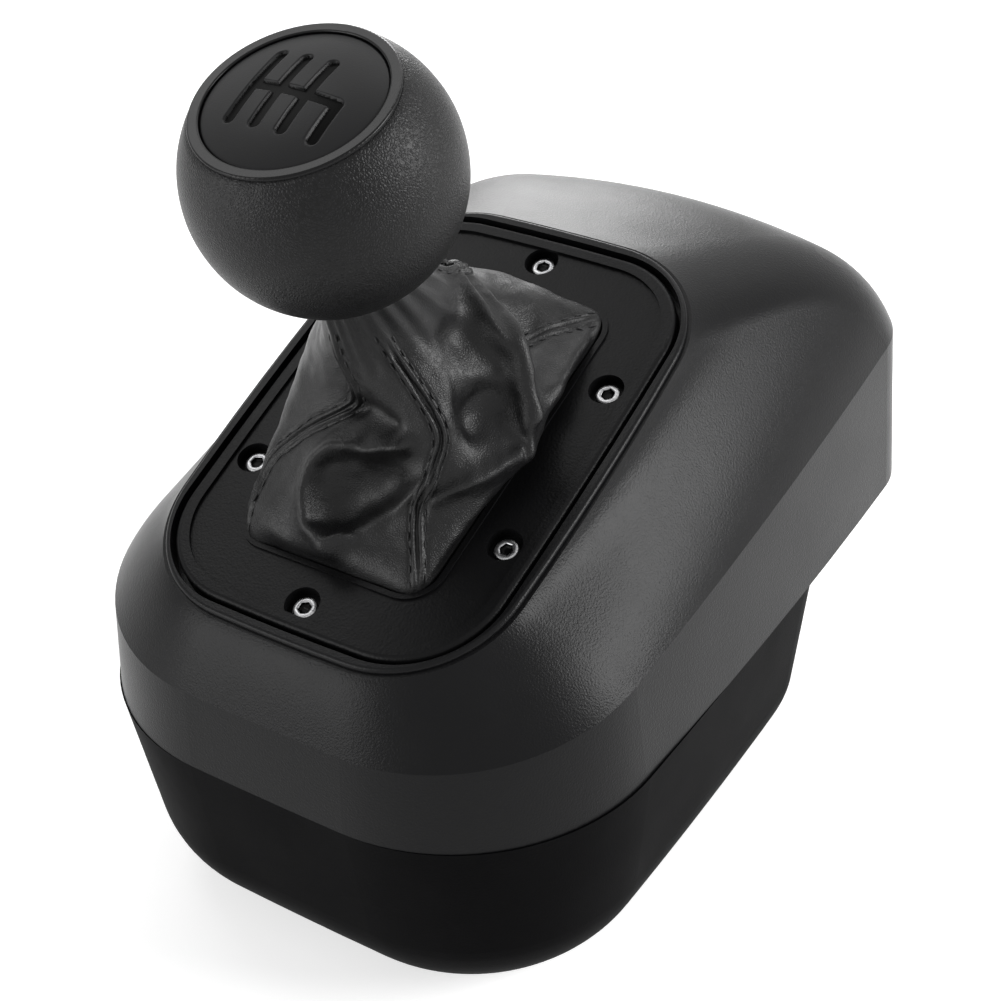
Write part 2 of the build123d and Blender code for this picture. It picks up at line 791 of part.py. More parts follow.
# Lever, hub and yoke, measured from the pivot, where the two hinge axes cross
pivot_depth = 38.0           # below the deck
fore_aft_swing = 14.0
left_right_swing = 11.0
push_travel = 6.0
rod_radius = 5.0
finger_radius = 2.5
finger_end = 45.0
finger_shoulder = 28.0
finger_round = 1.8
clip_groove_radius = 4.2
clip_radius = 7.6
clip_thickness = 1.0
hub_half = 12.0
hub_half_height = 8.0
hub_corner = 2.5
sleeve_radius = 8.5
sleeve_top = 15.0
spring_outer = 7.4
spring_inner = 5.6
spring_length = 18.0
collar_radius = 8.5
collar_thickness = 2.5
pin_radius = 3.0
pin_start = 7.0
pin_far_end = 26.0
pin_near_end = 33.0
pin_cap_radius = 4.6
pin_cap_thickness = 1.4
centring_outer = 5.0
yoke_half_width = 22.0
yoke_half_length = 20.0
yoke_half_height = 6.0
yoke_inner_half_width = 16.0
yoke_inner_half_length = 14.0
yoke_corner = 4.0
trunnion_radius = 4.0
shoulder_radius = 6.5
wall_inner = 26.0            # from the middle line to the frame's side walls
wall_thickness = 3.0
bush_radius = 6.0
bush_flange_radius = 8.0
bush_flange_thickness = 1.2
trunnion_end = 31.0
pot_shaft_radius = 3.0
pot_radius = 8.5
pot_length = 8.0
pot_shaft_depth = 5.0
pot_gap = 0.4
bracket_thickness = 1.6
bracket_width = 16.0
bracket_reach = 13.0
standoff_radius = 2.4

# Mechanism frame, gate and reverse switch, also measured from the pivot
frame_half_width = 37.0
frame_half_length = 54.5
frame_corner = 20.0
frame_flange = 5.0
frame_mouth_half_width = 25.0
frame_mouth_half_length = 41.0
frame_mouth_corner = 6.0
wall_half_length = 24.0
wall_foot_half_length = 21.0
frame_foot = 58.0
window_width = 11.0
window_height = 18.0
window_reach = 11.5
window_depth = 24.0
window_corner = 3.0
gate_depth = 39.0            # pivot down to the gate's top face
gate_thickness = 2.0
gate_half_width = 25.7
gate_half_length = 20.0
gate_column = 8.0            # between the columns
gate_slot_half_width = 3.1
gate_slot_half_length = 13.1
rail_width = 5.5
rail_thickness = 4.0
gate_screw_x = 22.8
gate_screw_y = 16.5
switch_board_side = 9.0
switch_board_thickness = 1.6
switch_side = 6.0
switch_height = 3.5
button_radius = 1.75
button_height = 0.6

# Knob
knob_height = 73.0           # knob's centre above the deck
knob_radius = 27.2
cover_thickness = 1.15
knob_neck = 10.5
knob_neck_foot = 29.5        # below the knob's centre
cap_seat = 14.0              # above the knob's centre
cap_ring_radius = 20.2
cap_ring_inner = 17.9
cap_ring_top = 18.5
cap_edge = 18.0
cap_crown = 20.6
pattern_depth = 0.6
pattern_inlay = 0.3
pattern_columns = [-8.2, -2.3, 3.6]
reverse_column = 10.2
pattern_leg = 17.0
reverse_leg = 8.5
pattern_bar = 1.7
insert_outer = 7.5
insert_top = 6.0             # below the knob's centre

pivot = deck.offset(-pivot_depth)
lever_axis = Axis(pivot.origin, pivot.z_dir)
across = Plane(origin=pivot.origin, x_dir=deck.y_dir, z_dir=(1, 0, 0))
along = Plane(origin=pivot.origin, x_dir=(-1, 0, 0), z_dir=deck.y_dir)
rod_top = pivot_depth + knob_height - insert_top
clip_foot = hub_half_height + slip / 2 + clip_thickness
with BuildPart() as lever_rod:
    with BuildSketch(across):
        with BuildLine():
            Polyline(
                (0, -finger_end),
                (finger_radius, -finger_end),
                (finger_radius, -finger_shoulder - rod_radius + finger_radius),
                (rod_radius, -finger_shoulder),
                (rod_radius, -clip_foot),
                (clip_groove_radius, -clip_foot),
                (clip_groove_radius, clip_thickness - clip_foot),
                (rod_radius, clip_thickness - clip_foot),
                (rod_radius, rod_top),
                (0, rod_top),
                close=True,
            )
        make_face()
    revolve(axis=lever_axis)
    fillet(lever_rod.edges().sort_by(lever_axis)[0], finger_round)
save(lever_rod, "lever_rod")

with BuildPart() as retaining_clip:
    add(turned(pivot, clip_radius, -clip_foot, clip_thickness - clip_foot, clip_groove_radius))
    with BuildSketch(pivot.offset(-clip_foot)):
        with Locations((0, -clip_radius)):
            Rectangle(clip_groove_radius, 2 * clip_radius)
    extrude(amount=clip_thickness, mode=Mode.SUBTRACT)
save(retaining_clip, "retaining_clip")

spring_top = sleeve_top + spring_length
with BuildPart() as reverse_spring:
    add(turned(pivot, spring_outer, sleeve_top, spring_top, spring_inner))
save(reverse_spring, "reverse_spring")

with BuildPart() as spring_collar:
    add(turned(pivot, collar_radius, spring_top, spring_top + collar_thickness, rod_radius))
    chamfer(spring_collar.edges().sort_by(lever_axis)[-1], collar_thickness / 4)
save(spring_collar, "spring_collar")

with BuildPart() as boot_collar:
    collar_end = boot_collar_foot + boot_collar_height
    add(turned(deck, boot_collar_radius, boot_collar_foot, collar_end, rod_radius))
    groove_middle = boot_collar_foot + boot_collar_height / 2
    groove = turned(
        deck,
        boot_collar_radius + overrun,
        groove_middle - boot_collar_height / 6,
        groove_middle + boot_collar_height / 6,
        boot_collar_radius - boot_wall,
    )
    add(groove, mode=Mode.SUBTRACT)
save(boot_collar, "boot_collar")

with BuildPart() as lever_hub:
    with BuildSketch(pivot.offset(-hub_half_height)):
        RectangleRounded(2 * hub_half, 2 * hub_half, hub_corner)
    extrude(amount=2 * hub_half_height)
    chamfer(lever_hub.faces().sort_by(lever_axis)[0].edges(), hub_corner / 3)
    add(turned(pivot, sleeve_radius, 0, sleeve_top))
    add(turned(pivot, rod_radius + running_gap, -hub_half_height, sleeve_top), mode=Mode.SUBTRACT)
    for start, end in ((-hub_half, -pin_start), (pin_start, hub_half)):
        add(turned(along, pin_radius, start, end), mode=Mode.SUBTRACT)
save(lever_hub, "lever_hub")

with BuildPart() as hub_pins:
    add(turned(along, pin_radius, -pin_near_end, -pin_start))
    add(turned(along, pin_radius, pin_start, pin_far_end))
    add(turned(along, pin_cap_radius, pin_far_end, pin_far_end + pin_cap_thickness))
save(hub_pins, "hub_pins")

with BuildPart() as yoke:
    with BuildSketch(pivot.offset(-yoke_half_height)):
        RectangleRounded(2 * yoke_half_width, 2 * yoke_half_length, yoke_corner)
        Rectangle(2 * yoke_inner_half_width, 2 * yoke_inner_half_length, mode=Mode.SUBTRACT)
    extrude(amount=2 * yoke_half_height)
    bush_face = wall_inner - bush_flange_thickness
    for side in (-1, 1):
        add(turned(across, shoulder_radius, side * yoke_inner_half_width, side * (bush_face - slip)))
        add(turned(across, trunnion_radius, side * yoke_inner_half_width, side * trunnion_end))
    add(turned(across, pot_shaft_radius, trunnion_end, trunnion_end + pot_shaft_depth + bracket_thickness))
    add(turned(along, pin_radius + running_gap, -yoke_half_length, yoke_half_length), mode=Mode.SUBTRACT)
    room = boxed(
        pivot,
        (-yoke_inner_half_width, -yoke_inner_half_length, -yoke_half_height),
        (yoke_inner_half_width, yoke_inner_half_length, yoke_half_height),
    )
    add(room, mode=Mode.SUBTRACT)
save(yoke, "yoke")

with BuildPart() as pivot_bushes:
    for side in (-1, 1):
        wall_outer = wall_inner + wall_thickness
        bore = trunnion_radius + running_gap
        add(turned(across, bush_radius, side * wall_inner, side * wall_outer, bore))
        add(turned(across, bush_flange_radius, side * bush_face, side * wall_inner, bore))
save(pivot_bushes, "pivot_bushes")

# Angle sensors on the two hinge axes: one on the frame, one on the yoke
fore_aft_pot_foot = trunnion_end + pot_gap + bracket_thickness
with BuildPart() as fore_aft_bracket:
    with BuildSketch(across.offset(trunnion_end + pot_gap)):
        SlotOverall(2 * bracket_reach + bracket_width / 2, bracket_width / 2)
        Circle(bracket_width / 2)
        Circle(trunnion_radius, mode=Mode.SUBTRACT)
    extrude(amount=bracket_thickness)
    with BuildSketch(across.offset(wall_inner + wall_thickness)):
        with Locations((-bracket_reach, 0), (bracket_reach, 0)):
            Circle(standoff_radius)
    extrude(amount=trunnion_end + pot_gap - wall_inner - wall_thickness)
save(fore_aft_bracket, "fore_aft_bracket")

with BuildPart() as fore_aft_pot:
    add(turned(across, pot_radius, fore_aft_pot_foot, fore_aft_pot_foot + pot_length))
    with BuildSketch(across.offset(fore_aft_pot_foot)):
        with Locations((0, -pot_radius)):
            Rectangle(pot_radius, pot_radius)
    extrude(amount=pot_length / 2)
    shaft_end = trunnion_end + pot_shaft_depth + bracket_thickness
    add(
        turned(across, pot_shaft_radius + running_gap, fore_aft_pot_foot, shaft_end + slip),
        mode=Mode.SUBTRACT,
    )
save(fore_aft_pot, "fore_aft_pot")

left_right_face = pin_near_end - pot_shaft_depth
with BuildPart() as left_right_bracket:
    with BuildSketch(along.offset(-left_right_face)):
        SlotOverall(2 * bracket_reach + bracket_width / 2, bracket_width / 2)
        Circle(bracket_width / 2)
        Circle(trunnion_radius, mode=Mode.SUBTRACT)
    extrude(amount=bracket_thickness)
    with BuildSketch(along.offset(-yoke_half_length)):
        with Locations((-bracket_reach, 0), (bracket_reach, 0)):
            Circle(standoff_radius)
    extrude(amount=yoke_half_length + bracket_thickness - left_right_face)
save(left_right_bracket, "left_right_bracket")

with BuildPart() as left_right_pot:
    add(turned(along, pot_radius, -left_right_face - pot_length, -left_right_face))
    with BuildSketch(along.offset(-left_right_face)):
        with Locations((0, -pot_radius)):
            Rectangle(pot_radius, pot_radius)
    extrude(amount=-pot_length / 2)
    add(
        turned(along, pot_shaft_radius + running_gap, -pin_near_end - slip, -left_right_face),
        mode=Mode.SUBTRACT,
    )
save(left_right_pot, "left_right_pot")

with BuildPart() as centring_spring:
    add(turned(along, centring_outer, yoke_half_length + slip, pin_far_end - slip, pin_radius + slip))
save(centring_spring, "centring_spring")

# Mechanism frame: a flange under the deck, two side walls, a floor and the rails for the gate
flange_top = pivot_depth - deck_stack
flange_foot = flange_top - frame_flange
with BuildPart() as mechanism_frame:
    with BuildSketch(pivot.offset(flange_foot)):
        RectangleRounded(2 * frame_half_width, 2 * frame_half_length, frame_corner)
        RectangleRounded(
            2 * frame_mouth_half_width, 2 * frame_mouth_half_length, frame_mouth_corner, mode=Mode.SUBTRACT
        )
        with Locations(*plate_screw_places()):
            Circle(screw_shank, mode=Mode.SUBTRACT)
    extrude(amount=frame_flange)
    for start in (-wall_inner - wall_thickness, wall_inner):
        with BuildSketch(across.offset(start)):
            with BuildLine():
                Polyline(
                    (-wall_half_length, flange_foot),
                    (wall_half_length, flange_foot),
                    (wall_foot_half_length, -frame_foot),
                    (-wall_foot_half_length, -frame_foot),
                    close=True,
                )
            make_face()
            Circle(bush_radius, mode=Mode.SUBTRACT)
            with Locations((-window_reach, -window_depth), (window_reach, -window_depth)):
                RectangleRounded(window_width, window_height, window_corner, mode=Mode.SUBTRACT)
        extrude(amount=wall_thickness)
    with BuildSketch(pivot.offset(-frame_foot)):
        Rectangle(2 * wall_inner, 2 * wall_foot_half_length)
    extrude(amount=wall_thickness)
    with BuildSketch(pivot.offset(-gate_depth - gate_thickness - rail_thickness)):
        with Locations((rail_width / 2 - wall_inner, 0), (wall_inner - rail_width / 2, 0)):
            Rectangle(rail_width, 2 * gate_half_length)
        with GridLocations(2 * gate_screw_x, 2 * gate_screw_y, 2, 2):
            Circle(screw_shank, mode=Mode.SUBTRACT)
    extrude(amount=rail_thickness)
save(mechanism_frame, "mechanism_frame")

with BuildPart() as gate_plate:
    with BuildSketch(pivot.offset(-gate_depth - gate_thickness)):
        Rectangle(2 * gate_half_width, 2 * gate_half_length)
        with Locations((-gate_column, 0), (0, 0), (gate_column, 0)):
            Rectangle(2 * gate_slot_half_width, 2 * gate_slot_half_length, mode=Mode.SUBTRACT)
        Rectangle(2 * gate_column, 2 * gate_slot_half_width, mode=Mode.SUBTRACT)
        with GridLocations(2 * gate_screw_x, 2 * gate_screw_y, 2, 2):
            Circle(screw_hole, mode=Mode.SUBTRACT)
    extrude(amount=gate_thickness)
save(gate_plate, "gate_plate")

with BuildPart() as gate_screws:
    with BuildSketch(pivot.offset(-gate_depth)):
        with GridLocations(2 * gate_screw_x, 2 * gate_screw_y, 2, 2):
            Circle(screw_head)
    extrude(amount=screw_head_height)
    with BuildSketch(pivot.offset(-gate_depth)):
        with GridLocations(2 * gate_screw_x, 2 * gate_screw_y, 2, 2):
            Circle(screw_shank)
    extrude(amount=-gate_thickness - rail_thickness)
    with BuildSketch(pivot.offset(screw_head_height - gate_depth)):
        with GridLocations(2 * gate_screw_x, 2 * gate_screw_y, 2, 2):
            RegularPolygon(screw_hex / 2, 6, major_radius=False)
    extrude(amount=-screw_head_height * 2 / 3, mode=Mode.SUBTRACT)
save(gate_screws, "gate_screws")

# Reverse switch: under the finger when the lever is right, back and pushed down
pushed_end = finger_end + push_travel
switch_x = -pushed_end * sin(radians(left_right_swing))
switch_y = pushed_end * cos(radians(left_right_swing)) * sin(radians(fore_aft_swing))
switch_foot = wall_thickness - frame_foot
with BuildPart() as switch_board:
    with BuildSketch(pivot.offset(switch_foot)):
        with Locations((switch_x, switch_y)):
            Rectangle(switch_board_side, switch_board_side)
    extrude(amount=switch_board_thickness)
save(switch_board, "switch_board")

with BuildPart() as reverse_switch:
    with BuildSketch(pivot.offset(switch_foot + switch_board_thickness)):
        with Locations((switch_x, switch_y)):
            Rectangle(switch_side, switch_side)
    extrude(amount=switch_height)
    with BuildSketch(pivot.offset(switch_foot + switch_board_thickness + switch_height)):
        with Locations((switch_x, switch_y)):
            Circle(button_radius)
    extrude(amount=button_height)
save(reverse_switch, "reverse_switch")

# Knob: a core with a leather cover, a trim ring and a domed cap with the shift pattern sunk into it
knob = deck.offset(knob_height)
side_on = Plane(origin=knob.origin, x_dir=(1, 0, 0), z_dir=-knob.y_dir)
core_radius = knob_radius - cover_thickness
with BuildPart() as ball:
    with BuildSketch(side_on):
        Circle(core_radius)
        Rectangle(core_radius, 2 * core_radius, align=(Align.MAX, Align.CENTER), mode=Mode.SUBTRACT)
    revolve(axis=lever_axis)

with BuildPart() as knob_core:
    add(ball.part)
    add(turned(knob, knob_neck, -knob_neck_foot, 0))
    add(turned(knob, cap_ring_radius + seat_gap, cap_seat, knob_radius), mode=Mode.SUBTRACT)
    add(turned(knob, insert_outer, -knob_neck_foot, -insert_top), mode=Mode.SUBTRACT)
save(knob_core, "knob_core")

with BuildPart() as knob_insert:
    add(turned(knob, insert_outer, -knob_neck_foot, -insert_top))
    add(turned(pivot, rod_radius, 0, rod_top), mode=Mode.SUBTRACT)
save(knob_insert, "knob_insert")

with BuildPart() as knob_cover:
    with BuildSketch(side_on):
        Circle(knob_radius)
        Circle(core_radius + seat_gap, mode=Mode.SUBTRACT)
        Rectangle(knob_radius, 2 * knob_radius, align=(Align.MAX, Align.CENTER), mode=Mode.SUBTRACT)
    revolve(axis=lever_axis)
    add(turned(knob, cap_ring_radius + seat_gap, 0, knob_radius), mode=Mode.SUBTRACT)
    add(turned(knob, knob_neck + slip, -knob_radius, 0), mode=Mode.SUBTRACT)
save(knob_cover, "knob_cover")

with BuildPart() as knob_ring:
    add(turned(knob, cap_ring_radius, cap_seat, cap_ring_top, cap_ring_inner))
    fillet(knob_ring.edges().sort_by(lever_axis)[-2:], (cap_ring_top - cap_edge) * 3 / 4)
save(knob_ring, "knob_ring")


def dome(drop):
    """The cap's domed form, lowered by drop."""
    with BuildPart() as form:
        with BuildSketch(side_on):
            with BuildLine():
                edge = cap_ring_inner - seat_gap
                rise = cap_crown - cap_edge
                bend = (edge**2 + rise**2) / (2 * rise)
                middle = edge / 2
                middle_up = cap_crown - bend + (bend**2 - middle**2) ** 0.5
                Line((0, cap_seat), (edge, cap_seat))
                Line((edge, cap_seat), (edge, cap_edge - drop))
                ThreePointArc((edge, cap_edge - drop), (middle, middle_up - drop), (0, cap_crown - drop))
                Line((0, cap_crown - drop), (0, cap_seat))
            make_face()
        revolve(axis=lever_axis)
    return form.part


def pattern_block(shrink):
    """Tall block in the outline of the shift pattern."""
    with BuildPart() as block:
        with BuildSketch(knob.offset(cap_seat + pattern_depth)):
            bar = pattern_bar - 2 * shrink
            with Locations(*[(x, 0) for x in pattern_columns]):
                Rectangle(bar, pattern_leg - 2 * shrink)
            with Locations((reverse_column, pattern_bar / 2 - shrink)):
                Rectangle(bar, reverse_leg - 2 * shrink, align=(Align.CENTER, Align.MAX))
            with Locations((pattern_columns[0], 0)):
                Rectangle(
                    reverse_column - pattern_columns[0] + bar / 2, bar, align=(Align.MIN, Align.CENTER)
                )
        extrude(amount=knob_radius)
    return block.part


with BuildPart() as pattern_sink:
    add(pattern_block(0))
    add(dome(pattern_depth), mode=Mode.SUBTRACT)

with BuildPart() as knob_cap:
    add(dome(0))
    add(pattern_sink.part, mode=Mode.SUBTRACT)
save(knob_cap, "knob_cap")

with BuildPart() as shift_pattern:
    add(pattern_block(seat_gap))
    add(dome(pattern_depth), mode=Mode.SUBTRACT)
    add(dome(pattern_depth - pattern_inlay), mode=Mode.INTERSECT)
save(shift_pattern, "shift_pattern")
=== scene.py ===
# %% [markdown]
# # Sim racing gear shifter
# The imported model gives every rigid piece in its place. This lesson dresses it: a camera and soft
# light, finishes for moulded plastic, metal, rubber and leather, and new meshes for the pieces
# that a solid can't show, such as the leather boot, the knob's cover and cap, the stitches, the
# coil springs and the screws.

# %% Load the frame
from math import asin, cos, exp, pi, radians, sin, tau

import bmesh
import bpy
import numpy as np
from mathutils import Matrix, Vector, noise


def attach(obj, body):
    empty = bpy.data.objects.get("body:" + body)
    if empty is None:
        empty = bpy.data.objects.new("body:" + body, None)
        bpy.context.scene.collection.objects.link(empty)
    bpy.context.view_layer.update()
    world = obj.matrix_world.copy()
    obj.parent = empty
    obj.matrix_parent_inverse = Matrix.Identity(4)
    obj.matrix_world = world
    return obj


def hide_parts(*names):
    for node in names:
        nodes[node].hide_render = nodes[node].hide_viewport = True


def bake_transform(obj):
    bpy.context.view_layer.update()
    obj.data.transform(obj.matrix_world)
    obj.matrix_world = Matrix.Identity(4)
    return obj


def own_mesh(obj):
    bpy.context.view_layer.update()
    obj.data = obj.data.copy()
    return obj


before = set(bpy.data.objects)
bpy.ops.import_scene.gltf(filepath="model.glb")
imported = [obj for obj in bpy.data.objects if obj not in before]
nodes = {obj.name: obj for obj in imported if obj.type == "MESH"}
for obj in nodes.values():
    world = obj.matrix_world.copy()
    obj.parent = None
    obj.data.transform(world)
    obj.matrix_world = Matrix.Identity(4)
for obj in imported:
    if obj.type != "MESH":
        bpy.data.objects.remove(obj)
scene = bpy.context.scene
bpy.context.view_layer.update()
print("pieces in the frame:", len(nodes))

# %% [markdown]
# Lengths below are written in millimetres, as on a drawing, and turned into metres in one place.
# The face plate slopes, so anything on it is easier to place on the deck: x to the right, y up the
# slope and a height at right angles to it, along the lever.

# %% Millimetres and the deck
mm = 0.001
deck_tilt = radians(19.5)
deck_origin = Vector((0, -27.0, 109.5)) * mm
deck_ahead = Vector((0, cos(deck_tilt), sin(deck_tilt)))
deck_up = Vector((0, -sin(deck_tilt), cos(deck_tilt)))
deck_across = Vector((1, 0, 0))


def deck(x, y, up):
    """Point in metres from millimetres on the deck."""
    return deck_origin + (deck_across * x + deck_ahead * y + deck_up * up) * mm


def swung(first, second, angle):
    """The direction that is an angle away from the first, towards the second."""
    return first * cos(angle) + second * sin(angle)


def turns_of(count):
    """Angles that share a full turn evenly."""
    return [tau * c / count for c in range(count)]


# %% [markdown]
# The photograph looks down on the right-hand side of the shifter from the driver's end, with the
# camera leaning a little to one side. A camera can be placed by eye, but its direction, distance
# and lens were worked out from the outlines of the housing, so they are typed in as angles round
# a target point.

# %% Camera
camera_azimuth = radians(35.32)
camera_elevation = radians(35.29)
camera_roll = radians(-3.66)
camera_distance = 507.0 * mm
aim_right, aim_up = -1.06 * mm, 58.88 * mm     # from the frame's origin, as the camera sees them
lens_pixels = 2000.0
frame_pixels = 1001.0

camera_back = Vector((
    sin(camera_azimuth) * cos(camera_elevation),
    -cos(camera_azimuth) * cos(camera_elevation),
    sin(camera_elevation),
))
camera_right = Vector((cos(camera_azimuth), sin(camera_azimuth), 0))
camera_top = camera_back.cross(camera_right)
camera_data = bpy.data.cameras.new("camera")
camera_data.sensor_width = 36.0
camera_data.lens = lens_pixels * camera_data.sensor_width / frame_pixels
camera_data.clip_start = 0.01
camera = bpy.data.objects.new("camera", camera_data)
scene.collection.objects.link(camera)
leaned_right = swung(camera_right, camera_top, camera_roll)
leaned_top = swung(camera_top, -camera_right, camera_roll)
camera_place = camera_right * aim_right + camera_top * aim_up + camera_back * camera_distance
turn = Matrix((leaned_right, leaned_top, camera_back)).transposed().to_4x4()
camera.matrix_world = Matrix.Translation(camera_place) @ turn
scene.camera = camera
print("lens", round(camera_data.lens, 1), "mm at", round(camera_distance, 3), "m")

# %% [markdown]
# A node tree is easier to read when each node is made by one short line. These helpers add a node,
# set its plain properties and join its sockets. A value that is a socket is linked, and any other
# value is typed in.

# %% Helpers for node trees
def add_node(tree, kind, inputs=None, **settings):
    """Adds one shader node and fills its inputs, by name or number, with links or plain values."""
    made = tree.nodes.new("ShaderNode" + kind)
    for key, value in settings.items():
        setattr(made, key, value)
    for key, value in (inputs or {}).items():
        if isinstance(value, bpy.types.NodeSocket):
            tree.links.new(value, made.inputs[key])
        else:
            made.inputs[key].default_value = value
    return made


def new_group(name, inputs, outputs):
    """A shader node group of plain numbers, and the sockets of its two end nodes."""
    tree = bpy.data.node_groups.new(name, "ShaderNodeTree")
    for label, value in inputs.items():
        added = tree.interface.new_socket(label, in_out="INPUT", socket_type="NodeSocketFloat")
        added.default_value = value
    for label in outputs:
        tree.interface.new_socket(label, in_out="OUTPUT", socket_type="NodeSocketFloat")
    return tree, tree.nodes.new("NodeGroupInput").outputs, tree.nodes.new("NodeGroupOutput").inputs


def maths(tree, operation, first, second=0.0, third=0.0):
    return add_node(tree, "Math", {0: first, 1: second, 2: third}, operation=operation).outputs[0]


def ramp(tree, value, start, end):
    """Rises softly from 0 to 1 as a value goes from start to end."""
    inputs = {"Value": value, "From Min": start, "From Max": end}
    return add_node(tree, "MapRange", inputs, interpolation_type="SMOOTHSTEP").outputs["Result"]


def noise_on(tree, place, scale, detail=2.0, distortion=0.0):
    """Soft noise, laid out by a place."""
    values = {"Vector": place, "Scale": scale, "Detail": detail, "Distortion": distortion}
    return add_node(tree, "TexNoise", values).outputs


def laid_out(tree, size):
    """The place on the object, and how many grains of a size in millimetres go into a metre."""
    place = add_node(tree, "TexCoord").outputs["Object"]
    return place, maths(tree, "DIVIDE", 1 / mm, size)


# %% [markdown]
# Moulded grain: the steel mould of a plastic housing is etched, so the plastic comes out with a
# fine, even grain that breaks up the light. Fine noise in the object's own coordinates gives it,
# and never repeats or stretches. The same group serves every moulded piece, each with its size.

# %% Group: moulded grain
tree, given, result = new_group(
    "moulded grain", {"Grain size": 0.45, "Unevenness": 0.5}, ("Height", "Roughness shift")
)
place, per_metre = laid_out(tree, given["Grain size"])
fine = noise_on(tree, place, per_metre, 3.0)
pits = add_node(tree, "TexVoronoi", {"Vector": place, "Scale": per_metre}, feature="SMOOTH_F1")
cloudy = noise_on(tree, place, 60.0, 4.0)
mixed = maths(tree, "MULTIPLY_ADD", pits.outputs["Distance"], 0.6, fine[0])
tree.links.new(mixed, result["Height"])
centred = maths(tree, "SUBTRACT", cloudy[0], 0.5)
shift = maths(tree, "MULTIPLY", centred, given["Unevenness"])
tree.links.new(shift, result["Roughness shift"])
print("group made:", tree.name)

# %% [markdown]
# Leather grain: hide has small rounded pebbles between fine creases, never two the same size.
# Voronoi cells give the pebbles, and bending their coordinates with noise takes away the honeycomb
# look. The group gives a height for the bump, and a tone that is darker in the creases.

# %% Group: leather grain
tree, given, result = new_group(
    "leather grain", {"Pebble size": 0.9, "Bend": 0.35}, ("Height", "Tone", "Wear")
)
place, per_metre = laid_out(tree, given["Pebble size"])
bend = noise_on(tree, place, maths(tree, "MULTIPLY", per_metre, 0.6))
amount = maths(tree, "MULTIPLY", given["Bend"], maths(tree, "DIVIDE", 2.0, per_metre))
push = add_node(tree, "VectorMath", {0: bend["Color"], "Scale": amount}, operation="SCALE")
bent = add_node(tree, "VectorMath", {0: place, 1: push.outputs[0]}, operation="ADD")
cell_inputs = {"Vector": bent.outputs[0], "Scale": per_metre}
cells = add_node(tree, "TexVoronoi", cell_inputs, feature="DISTANCE_TO_EDGE")
pebble = ramp(tree, cells.outputs["Distance"], 0.0, 0.35)
pores = noise_on(tree, place, maths(tree, "MULTIPLY", per_metre, 4.0))
height = maths(tree, "MULTIPLY_ADD", pores[0], 0.25, pebble)
tree.links.new(height, result["Height"])
tree.links.new(pebble, result["Tone"])
patches = noise_on(tree, place, 45.0, 5.0)
tree.links.new(ramp(tree, patches[0], 0.42, 0.68), result["Wear"])
print("group made:", tree.name)

# %% [markdown]
# Handling marks: metal and hard plastic pick up faint smudges and hairline scratches, and their
# corners wear bright. Corners are found by how sharply the surface turns, and noise breaks the
# line up so that it isn't an outline.

# %% Group: handling marks
tree, given, result = new_group(
    "handling marks", {"Scratch size": 2.5, "Edge width": 0.5}, ("Smudge", "Scratch", "Edge")
)
place, per_metre = laid_out(tree, given["Scratch size"])
stretch = {"Vector": place, "Scale": (1.0, 12.0, 1.0), "Rotation": (0.3, 0.5, 0.7)}
drawn = add_node(tree, "Mapping", stretch)
hairlines = noise_on(tree, drawn.outputs[0], per_metre, 6.0)
tree.links.new(ramp(tree, hairlines[0], 0.62, 0.70), result["Scratch"])
smear = noise_on(tree, place, 85.0, 3.0, 0.6)
tree.links.new(ramp(tree, smear[0], 0.45, 0.75), result["Smudge"])
turning = add_node(tree, "NewGeometry").outputs["Pointiness"]
edge_span = maths(tree, "MULTIPLY", given["Edge width"], 0.1)
corner = ramp(tree, turning, 0.52, maths(tree, "ADD", 0.53, edge_span))
broken = maths(tree, "MULTIPLY", corner, ramp(tree, hairlines[0], 0.35, 0.6))
tree.links.new(broken, result["Edge"])
print("group made:", tree.name)

# %% [markdown]
# A finish is one material. Each keeps its own Principled shader, because the export reads it
# there. What is the same all over, such as how strongly the surface shines, is typed on the
# shader, and what changes over the surface comes from the groups.

# %% Helpers for finishes
def new_finish(name, plain):
    """A material with its shader's plain values set by socket name."""
    made = bpy.data.materials.new(name)
    made.use_nodes = True
    shader = made.node_tree.nodes["Principled BSDF"]
    for key, value in plain.items():
        shader.inputs[key].default_value = value
    return made.node_tree, shader


def place_group(tree, name, inputs=None):
    return add_node(tree, "Group", inputs, node_tree=bpy.data.node_groups[name]).outputs


def add_bump(tree, shader, height, depth):
    """Feeds a height to the shader's normal, with its depth in millimetres."""
    made = add_node(tree, "Bump", {"Height": height, "Distance": depth * mm})
    tree.links.new(made.outputs["Normal"], shader.inputs["Normal"])


def mix_colours(tree, share, *colours):
    first, second = ((*c, 1.0) if isinstance(c, tuple) else c for c in colours)
    return add_node(tree, "Mix", {"Factor": share, 6: first, 7: second}, data_type="RGBA").outputs[2]


def moulded_plastic(name, colour, roughness, grain, depth, shine=0.35):
    """Etched plastic: an even grain, and faint smudges that are a little lighter."""
    tree, shader = new_finish(name, {"Specular IOR Level": shine})
    texture = place_group(tree, "moulded grain", {"Grain size": grain, "Unevenness": 0.12})
    marks = place_group(tree, "handling marks")
    lighter = tuple(min(1.0, c * 1.3 + 0.001) for c in colour)
    colour_out = mix_colours(tree, maths(tree, "MULTIPLY", marks["Smudge"], 0.3), colour, lighter)
    tree.links.new(colour_out, shader.inputs["Base Color"])
    tree.links.new(maths(tree, "ADD", texture["Roughness shift"], roughness), shader.inputs["Roughness"])
    add_bump(tree, shader, texture["Height"], depth)


